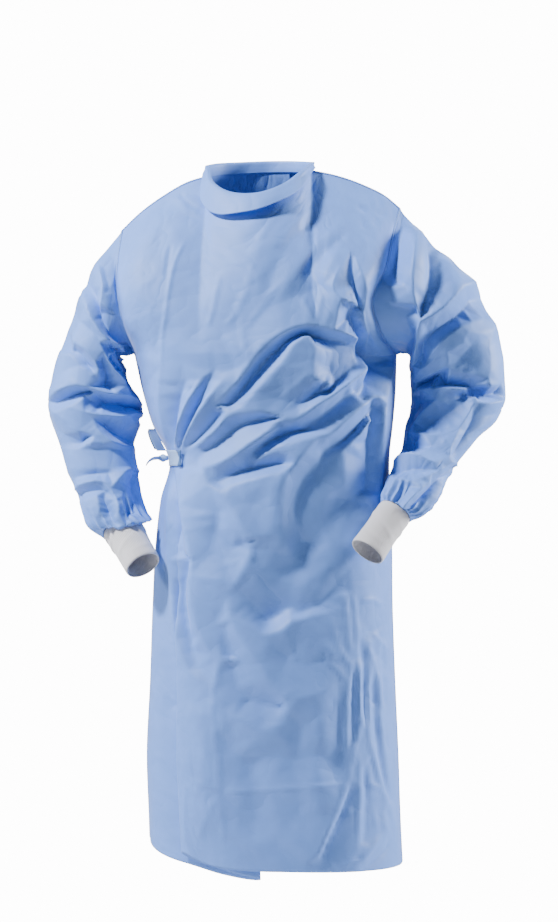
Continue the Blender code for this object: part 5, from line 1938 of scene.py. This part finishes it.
@dataclass
class Sleeve:
    """A sleeve from its armhole to its cuff, with gathers at the end.

    Args:
        name, node: the piece's name and the solid it stands for.
        front, back: the armhole's front and back lines.
        rings: the sections down the arm.
        cuff: the cuff that it ends on.
        folds: its broad soft folds.
        facets: the creases that the photograph shows, and the facets between them.
        crumples: the patches of small creases.
        outward: the side of the grid that faces out.
        along_rings, half_points: how finely the tube is divided.
        gathers: how many gathers go round the end.
        gather_depth: their depth.
        gather_length: the share of the sleeve that they reach up, in the mean.
        gather_ease, cuff_ease: the shares over which they rise and die out at the cuff.
        squareness: 2 for an oval section, and more for a squarer one.
        margin: how far from a seam the folds reach their full depth.
        rim: the share of the folds that goes round the outline.
        thickness: the cloth's thickness.
        flat: the size that it was cut to, in metres; not used.
    """

    name: str
    node: str
    front: Sequence[Point]
    back: Sequence[Point]
    rings: Sequence[Ring]
    cuff: Cuff
    folds: Sequence[Fold]
    facets: Facets
    crumples: Sequence[Crumple]
    outward: int
    along_rings: int = 210
    half_points: int = 104
    gathers: int = 21
    gather_depth: float = 2.6
    gather_length: float = 0.13
    gather_ease: float = 0.08
    cuff_ease: float = 0.02
    squareness: float = 2.2
    margin: float = 8.0
    rim: float = 0.35
    thickness: float = 0.6
    flat: tuple[float, float] = (0.36, 0.50)

    def section(self, ring: Ring, angle: np.ndarray) -> np.ndarray:
        """Returns a section through the ring's outer, front, inner and back points."""
        outer = np.array([ring.outer_x, ring.middle_y, ring.outer_z], float)
        inner = np.array([ring.inner_x, ring.middle_y, ring.inner_z], float)
        across = power(np.cos(angle), 2 / self.squareness)[:, None] * (outer - inner) / 2
        forward = power(np.sin(angle), 2 / self.squareness)[:, None]
        return (outer + inner) / 2 + across + forward * np.array([0.0, -ring.half_depth, 0.0])

    def gathered(self, grid: np.ndarray, share: np.ndarray, angle: np.ndarray) -> np.ndarray:
        """Returns the grid with its end drawn up in gathers of uneven length."""
        out = unit(grid - grid.mean(axis=1, keepdims=True))
        # slow waves round the arm make the gathers' lengths and spacing uneven
        reach = self.gather_length + 0.05 * np.sin(angle * 3 + 1.0) + 0.03 * np.sin(angle * 7)
        near = np.clip((share[:, None] - (1 - reach)) / self.gather_ease, 0, 1)
        near = near * np.clip((1 - share[:, None]) / self.cuff_ease, 0, 1)
        phase = self.gathers * angle + 0.8 * np.sin(angle * 2) + 0.5 * np.sin(angle * 5 + 2)
        wave = self.gather_depth * (1 - 2 * np.abs(np.sin(phase / 2))) * near
        return grid + out * wave[..., None]

    def cloth(self) -> Cloth:
        """Returns the sleeve's cloth with every fold and gather."""
        shares = np.linspace(0, 1, self.half_points + 1)
        front, back = along(self.front, shares), along(self.back, shares[::-1])
        angle = np.arange(2 * self.half_points) * np.pi / self.half_points
        sections = [np.concatenate([front[:-1], back[:-1]])]
        sections += [self.section(ring, angle) for ring in self.rings]
        sections[-1] = self.cuff.ring(0.0, angle)
        stack = np.array(sections)
        steps = np.linalg.norm(np.diff(stack.mean(axis=1), axis=0), axis=1)
        knots = np.concatenate([[0], np.cumsum(steps)])
        at = np.linspace(0, knots[-1], self.along_rings + 1)
        grid = curve(knots, stack.reshape(len(stack), -1), at).reshape(len(at), -1, 3)
        cloth = Cloth(grid, self.outward, True, "bottom top", self.margin, self.rim)
        creased = list(self.folds) + crumpled(self.crumples)
        cloth.fold(creased, Facing.FRONT, SLEEVE_RUMPLES, self.facets)
        cloth.fold(
            behind(creased), Facing.BACK, SLEEVE_RUMPLES, self.facets, BEHIND_DROP, BEHIND_SHARE
        )
        cloth.grid = self.gathered(cloth.grid, at / knots[-1], angle)
        return cloth

    def build(self, finishes: Finishes) -> Cloth:
        """Builds the sleeve and returns its cloth."""
        cloth = self.cloth()
        piece = cloth_piece(cloth, self.name, finishes.cloth, self.thickness)
        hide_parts(self.node)
        self.cuff.build(finishes)
        return cloth


# The small folds in the neck binding
NECK_FOLDS = [
    Fold(((208, 206), (228, 209), (254, 203)), 5, 5, 2.5, 0.6),
    Fold(((252, 206), (268, 202), (292, 192)), 5, 6, -3, 0.6),
    crease(((214, 196), (222, 200), (232, 202)), 1.2, 4),
    crease(((300, 178), (310, 184), (318, 190)), -1.2, 4),
]


@dataclass
class NeckBinding:
    """The binding folded over the neckline, which falls open at the front.

    Args:
        points, rows: how finely it is divided.
        centre: the point that it is folded away from.
        seam_overlap: how far its root reaches down inside the panels' edge.
        inset, crest: how far inwards its root lies, and how far out its crest.
        knots: where its lines lie between its root and its free edge, as shares.
        margin: how far from its root the folds reach their full depth.
        thickness: the folded cloth's thickness.
        flat: the size of the strip, in metres; not used.
    """

    points: int = 240
    rows: int = 42
    centre: Point = Point(-3.0, -4.0, 0.0)
    seam_overlap: float = 3.0
    inset: float = 0.8
    crest: float = 3.5
    knots: tuple[float, ...] = (0.0, 0.18, 0.36, 0.46, 0.7, 1.0)
    margin: float = 6.0
    thickness: float = 0.7
    flat: tuple[float, float] = (0.47, 0.045)

    def profile(self) -> np.ndarray:
        """Returns the binding's lines round the neck, from its root to its free edge."""
        half = self.points // 2
        shares = np.linspace(0, 1, half + 1)
        seam = np.concatenate([along(NECK_FRONT, shares)[:-1], along(NECK_BACK, shares[::-1])[:-1]])
        share = np.arange(len(seam)) / len(seam)
        rise, out, drop = (read(BINDING, name, share) for name in Bind._fields[1:])
        radial = (seam - np.array(self.centre)) * (1, 1, 0)
        radial = unit(radial)
        up = np.array([0.0, 0.0, 1.0])
        root = seam - up * self.seam_overlap - radial * self.inset
        lifted = seam + up * rise[:, None]
        # inside the neck, over the crest and down to the free edge
        return np.array(
            [
                root,
                (root + lifted) / 2 - radial,
                lifted - radial * 0.5,
                lifted + radial * self.crest + up * 0.6,
                lifted + radial * (out * 0.62)[:, None] + up * ((drop - rise) * 0.4)[:, None],
                seam + radial * out[:, None] + up * drop[:, None],
            ]
        )

    def build(self, finishes: Finishes) -> None:
        """Builds the binding with the small folds that the photograph shows in it."""
        lines = self.profile()
        at = np.linspace(0, 1, self.rows)
        grid = curve(self.knots, lines.reshape(len(lines), -1), at).reshape(len(at), -1, 3)
        cloth = Cloth(grid, 1, closed=True, seams="bottom", margin=self.margin)
        cloth.fold(NECK_FOLDS, Facing.FRONT)
        piece = cloth_piece(cloth, "gown_neck_binding", finishes.cloth, self.thickness)
        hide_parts("neck_binding")


def ribbon(route: Sequence[Point], across: Point, half_width: float, steps: int) -> np.ndarray:
    """Returns the grid of a tape along a route.

    Args:
        route: the points that it follows.
        across: the direction of its width.
        half_width: half its width.
        steps: how many points lie along it.
    """
    line = curve(np.linspace(0, 1, len(route)), np.array(route, float), np.linspace(0, 1, steps))
    side = np.array(across) * half_width
    return np.array([line + side * k for k in np.linspace(-1.0, 1.0, 7)])


@dataclass
class WaistTie:
    """The waist tie: a tab on the front, the tape round the back, and its knot.

    Args:
        front: the front panel's cloth.
        under, over: the back panels' cloth.
        fine: how many of the front's columns one of the solid's columns takes.
        fine_back: the same for the back.

    The sizes that follow the fields are in millimetres, and the tab's and its turned end's
    places are columns of the solid.
    """

    front: Cloth
    under: Cloth
    over: Cloth
    fine: float = 7.0
    fine_back: float = 5.0

    half_width = 12.0
    # how far across the front the cloth is pressed flat, and over what distance that eases
    reach = -96.0
    ease = 12.0
    # how far the tape's and the turned end's faces stand off the cloth
    lift = 1.6
    turned_lift = 4.0
    thickness = 0.8
    knot_seat = 3.0
    # the knot's width as a share of its solid's, and how far its turns draw it in
    knot_width = 0.62
    knot_waist = 0.14
    tab_start = 0.5
    tab_end = 6.1
    pinch_start = 5.75
    pinch_end = 8.3
    body_middle = 26.0
    across_rows = 9
    tail_half_width = 8.0
    loop_half_width = 7.5

    def on_cloth(self, cloth: Cloth, columns: Sequence[float], lift: np.ndarray) -> np.ndarray:
        """Returns tape points that lie on a panel.

        Args:
            cloth: the panel.
            columns: the panel's columns, which may be fractions.
            lift: how far each column's points stand off the panel.
        """
        places = np.asarray(columns, float)
        low = np.minimum(places.astype(int), cloth.grid.shape[1] - 2)
        part = (places - low)[None, :, None]
        lines = cloth.grid[:, low] * (1 - part) + cloth.grid[:, low + 1] * part
        rows = []
        low_edge, high_edge = TIE_LEVEL - self.half_width, TIE_LEVEL + self.half_width
        for height in np.linspace(low_edge, high_edge, self.across_rows):
            x, y = (
                [np.interp(height, lines[:, k, 2], lines[:, k, axis]) for k in range(len(places))]
                for axis in (0, 1)
            )
            rows.append(np.stack([x, y, np.full(len(places), height)], axis=-1))
        points = np.array(rows)
        run = np.gradient(points, axis=1)
        out = unit(np.stack([run[..., 1], -run[..., 0], 0 * run[..., 0]], axis=-1))
        middle = points.mean(axis=(0, 1)) - np.array([self.body_middle, 0.0, 0.0])
        side = np.sign((out.mean(axis=(0, 1)) * middle).sum())
        return points + out * side * np.asarray(lift)[None, :, None]

    def tape(self, name: str, grid: np.ndarray, outward: int, nodes: Sequence[str],
             flat: tuple[float, float], finishes: Finishes) -> None:
        """Builds one stretch of tape.

        Args:
            name, nodes: the piece's name and the solids that it stands for.
            grid: its points.
            outward: the side of the grid that faces out.
            flat: its width and length before it was tied, in metres; not used.
            finishes: the gown's materials.
        """
        cloth = Cloth(grid, outward)
        piece = cloth_piece(cloth, name, finishes.tape, self.thickness)
        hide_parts(*nodes)

    def pinch(self, finishes: Finishes) -> None:
        """Builds the tab's end, turned under and drawn in at its middle by its seam, in a dark blue that
        paints the shade there.
        """
        count, waist = 9, 0.25
        columns = np.linspace(self.pinch_start, self.pinch_end, count) * self.fine
        grid = self.on_cloth(self.front, columns, np.full(count, self.turned_lift))
        middle = grid[:, count // 2 : count // 2 + 1]
        drawn = waist + (1 - waist) * np.abs(np.linspace(-1, 1, len(grid))) ** 1.2
        cloth = Cloth(middle + (grid - middle) * drawn[:, None, None], -1)
        piece = cloth_piece(
            cloth, "tie_tab_end_painted_shade", finishes.turned, self.thickness
        )

    def knot(self, finishes: Finishes) -> None:
        """Builds the knot as a small bundle with the turns of the tape round it."""
        low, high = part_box("tie_knot")
        middle, half = (low + high) / 2, (high - low) / 2
        work = bmesh.new()
        bmesh.ops.create_uvsphere(work, u_segments=48, v_segments=28, radius=1.0)
        for vert in work.verts:
            turn = math.atan2(vert.co.y, vert.co.z)
            turns = abs(math.sin(2.0 * turn + 3.0 * vert.co.x))
            drawn = self.knot_width - self.knot_waist * turns
            seated = max(vert.co.x, 0.0) * self.knot_seat * MM
            shape = Vector((vert.co.x, vert.co.y * drawn, vert.co.z * drawn))
            vert.co = Vector([middle[k] + shape[k] * half[k] for k in range(3)])
            vert.co.x += seated
        piece = finish_piece(work, "tie_knot_wrapped", finishes.tape)
        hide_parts("tie_knot")
        LOG.info("tie_knot_wrapped")

    def build(self, finishes: Finishes) -> None:
        """Builds every stretch of the tie."""
        tab_steps, sewn_steps, free_steps, tail_steps, loop_steps = 30, 12, 36, 24, 48
        columns = np.linspace(self.tab_start, self.tab_end, tab_steps) * self.fine
        tab = self.on_cloth(self.front, columns, np.full(tab_steps, self.lift))
        self.tape("tie_tab", tab, -1, ["tie_front"], (0.075, 0.024), finishes)
        self.pinch(finishes)
        sewn = self.on_cloth(
            self.over, np.linspace(2, 0.2, sewn_steps) * self.fine_back, np.full(sewn_steps, self.lift)
        )
        drop = np.linspace(self.lift + OVERLAP_STEP, self.lift, free_steps)
        free = self.on_cloth(self.under, np.linspace(9, 2, free_steps) * self.fine_back, drop)
        band = np.concatenate([sewn, free], axis=1)
        self.tape("tie_band", band, 1, ["tie_back"], (0.11, 0.024), finishes)
        tail = ribbon(TAIL, Point(-0.10, 0.95, -0.30), self.tail_half_width, tail_steps)
        self.tape("tie_free_end", tail, 1, ["tie_tail"], (0.026, 0.016), finishes)
        loop = ribbon(LOOP, Point(0.93, 0.36, 0.0), self.loop_half_width, loop_steps)
        self.tape("tie_bow_loop", loop, 1, ["tie_loop"], (0.075, 0.015), finishes)
        self.knot(finishes)


@dataclass
class Seams:
    """The welts over the seams and the stitches across them.

    Args:
        half_width, height: the welt's half width and how far it stands up.
        pitch: the spacing of the stitches.
        stitch: the thread's half thickness.
        slant: how far a stitch leans along the seam.
        stitch_length: its length in half widths of the welt.
        sides: how many sides a welt's section has.
        raised: the share of its height that the middle of its section lies up.
    """

    half_width: float = 1.6
    height: float = 0.9
    pitch: float = 3.4
    stitch: float = 0.32
    slant: float = 0.45
    stitch_length: float = 2.2
    sides: int = 8
    raised: float = 0.2

    def welt(self, work: bmesh.types.BMesh, line: np.ndarray, out: np.ndarray, closed: bool) -> None:
        """Adds a low welt along a seam.

        Args:
            work: the mesh that takes it.
            line: the seam's points.
            out: the outward normal at each point.
            closed: whether the seam runs round.
        """
        spans = np.roll(line, -1, 0) - np.roll(line, 1, 0)
        ahead = unit(spans if closed else np.gradient(line, axis=0))
        side = unit(np.cross(ahead, out))
        ring = []
        for angle in np.linspace(0, math.tau, self.sides + 1)[:-1]:
            up = self.height * (math.sin(angle) * (1 - self.raised) + self.raised)
            ring.append(line + side * self.half_width * math.cos(angle) + out * up)
        grid = np.array(ring).transpose(1, 0, 2)
        if closed:
            grid = np.concatenate([grid, grid[:1]])
        lay_grid(work, Cloth(grid, 1, closed=True))

    def stitches(self, work: bmesh.types.BMesh, line: np.ndarray, out: np.ndarray) -> None:
        """Adds slanted stitches over a welt."""
        spans = np.linalg.norm(np.diff(line, axis=0), axis=1)
        knots = np.concatenate([[0], np.cumsum(spans)])
        at = np.arange(self.pitch, knots[-1], self.pitch)
        spots = np.stack([np.interp(at, knots, line[:, k]) for k in range(3)], axis=-1)
        leans = unit(np.stack([np.interp(at, knots, out[:, k]) for k in range(3)], axis=-1))
        ahead = unit(np.gradient(spots, axis=0))
        for spot, lean, run in zip(spots, leans, ahead):
            across = unit(np.cross(run, lean) + run * self.slant)
            turned = Vector(across).to_track_quat("Z", "Y").to_matrix().to_4x4()
            matrix = Matrix.Translation(Vector((spot + lean * self.height) * MM)) @ turned
            bmesh.ops.create_cone(
                work, cap_ends=True, segments=5, radius1=self.stitch * MM, radius2=self.stitch * MM,
                depth=self.stitch_length * self.half_width * MM, matrix=matrix,
            )

    def build(self, front: Cloth, sleeves: Sequence[Cloth], finishes: Finishes) -> None:
        """Builds the welts and the stitches of the side, shoulder and armhole seams.

        Args:
            front: the front panel's cloth.
            sleeves: both sleeves' cloth.
            finishes: the gown's materials.
        """
        grid, normals, shoulder = front.grid, front.normals(), FrontPanel.seam_columns
        lines = [
            (grid[:, 0], normals[:, 0], False),
            (grid[:, -1], normals[:, -1], False),
            (grid[-1, :shoulder], normals[-3, :shoulder], False),
            (grid[-1, -shoulder:], normals[-3, -shoulder:], False),
        ]
        for cloth in sleeves:
            out = unit(cloth.normals()[1] + unit(cloth.grid[0] - cloth.grid[0].mean(axis=0)))
            lines.append((cloth.grid[0], out, True))
        welts, threads = bmesh.new(), bmesh.new()
        for line, out, closed in lines:
            self.welt(welts, line, out, closed)
            self.stitches(threads, line, out)
        bmesh.ops.recalc_face_normals(welts, faces=welts.faces[:])
        finish_piece(welts, "seam_welts", finishes.cloth)
        LOG.info("seams")
        finish_piece(threads, "seam_stitches", finishes.thread)


@dataclass
class Studio:
    """A pale floor, soft lights and the camera at the photograph's angle.

    Args:
        floor_level: the floor's height under the gown, in metres.
        floor_radius: how far it reaches.
        aim: what the lamps look at.
        glow, backdrop: the surround's strength to the cloth and to the camera.
        sensor: the height of the camera's sensor, in millimetres.
    """

    floor_level: float = -1.52
    floor_radius: float = 2.2
    aim: tuple[float, float, float] = (0.02, 0.0, -0.45)
    glow: float = 0.16
    backdrop: float = 14.0
    sensor: float = 36.0

    def floor(self, finishes: Finishes) -> None:
        """Builds the round floor."""
        work = bmesh.new()
        bmesh.ops.create_circle(work, cap_ends=True, segments=96, radius=self.floor_radius)
        bmesh.ops.translate(work, vec=(0, 0, self.floor_level), verts=work.verts[:])
        mesh = bpy.data.meshes.new("studio_floor")
        work.to_mesh(mesh)
        work.free()
        mesh.materials.append(finishes.floor)
        ground = bpy.data.objects.new("studio_floor", mesh)
        bpy.context.scene.collection.objects.link(ground)

    def lamp(self, name: str, place: tuple[float, float, float], size: float, watts: float) -> None:
        """Adds a soft square lamp that looks at the gown's middle."""
        light = bpy.data.lights.new(name, "AREA")
        light.energy, light.size = watts, size
        lamp = bpy.data.objects.new(name, light)
        lamp.location = place
        aim = Vector(self.aim) - Vector(place)
        lamp.rotation_euler = aim.to_track_quat("-Z", "Y").to_euler()
        bpy.context.scene.collection.objects.link(lamp)

    def surround(self) -> None:
        """Makes the white surround, brighter to the camera than to the cloth."""
        world = bpy.data.worlds.new("studio")
        bpy.context.scene.world = world
        world.use_nodes = True
        nodes = Nodes(world.node_tree)
        ground = world.node_tree.nodes["Background"]
        ground.inputs["Color"].default_value = (1.0, 1.0, 1.0, 1.0)
        seen = nodes.add("ShaderNodeLightPath").outputs["Is Camera Ray"]
        nodes.feed(ground.inputs["Strength"], nodes.ramp(seen, 0.0, 1.0, self.glow, self.backdrop))

    def camera(self) -> None:
        """Sets the camera where the photograph's stood."""
        x, z = PORTRAIT.middle()
        data = bpy.data.cameras.new("portrait")
        tall = PORTRAIT.height * PORTRAIT.pixel
        data.sensor_fit = "VERTICAL"
        data.sensor_height = self.sensor
        data.lens = data.sensor_height * PORTRAIT.distance / tall
        camera = bpy.data.objects.new("portrait", data)
        camera.location = (x * MM, -PORTRAIT.distance * MM, z * MM)
        camera.rotation_euler = (math.pi / 2, 0, 0)
        bpy.context.scene.collection.objects.link(camera)
        bpy.context.scene.camera = camera

    def build(self, finishes: Finishes) -> None:
        """Builds the studio."""
        self.floor(finishes)
        self.surround()
        self.lamp("key", (-2.2, -1.25, 2.1), 0.4, 265.0)
        self.lamp("side_left", (-2.8, 0.3, 0.3), 0.7, 50.0)
        self.lamp("side_right", (2.7, 0.34, 0.5), 0.7, 165.0)
        LOG.info("studio")


def main() -> None:
    """Builds the gown piece by piece and then its studio."""
    logging.basicConfig(level=logging.INFO, format="%(name)s: %(message)s")
    studio = Studio()
    studio.camera()
    finishes = Finishes.make()
    front = FrontPanel().build(finishes)
    under, over = BackPanels().build(finishes)
    right = Sleeve(
        "gown_sleeve_right", "sleeve_right", ARMHOLE_RIGHT_FRONT, ARMHOLE_RIGHT_BACK, SLEEVE_RIGHT,
        Cuff("knit_cuff_right", "cuff_right", SLEEVE_RIGHT[-1], CUFF_RIGHT_END, -1),
        SLEEVE_RIGHT_FOLDS, SLEEVE_RIGHT_FACETS, SLEEVE_RIGHT_CRUMPLES, -1,
    ).build(finishes)
    left = Sleeve(
        "gown_sleeve_left", "sleeve_left", ARMHOLE_LEFT_FRONT, ARMHOLE_LEFT_BACK, SLEEVE_LEFT,
        Cuff("knit_cuff_left", "cuff_left", SLEEVE_LEFT[-1], CUFF_LEFT_END, 1),
        SLEEVE_LEFT_FOLDS, SLEEVE_LEFT_FACETS, SLEEVE_LEFT_CRUMPLES, 1,
    ).build(finishes)
    NeckBinding().build(finishes)
    WaistTie(front, under, over).build(finishes)
    Seams().build(front, [right, left], finishes)
    studio.build(finishes)


if __name__ == "__main__":
    main()
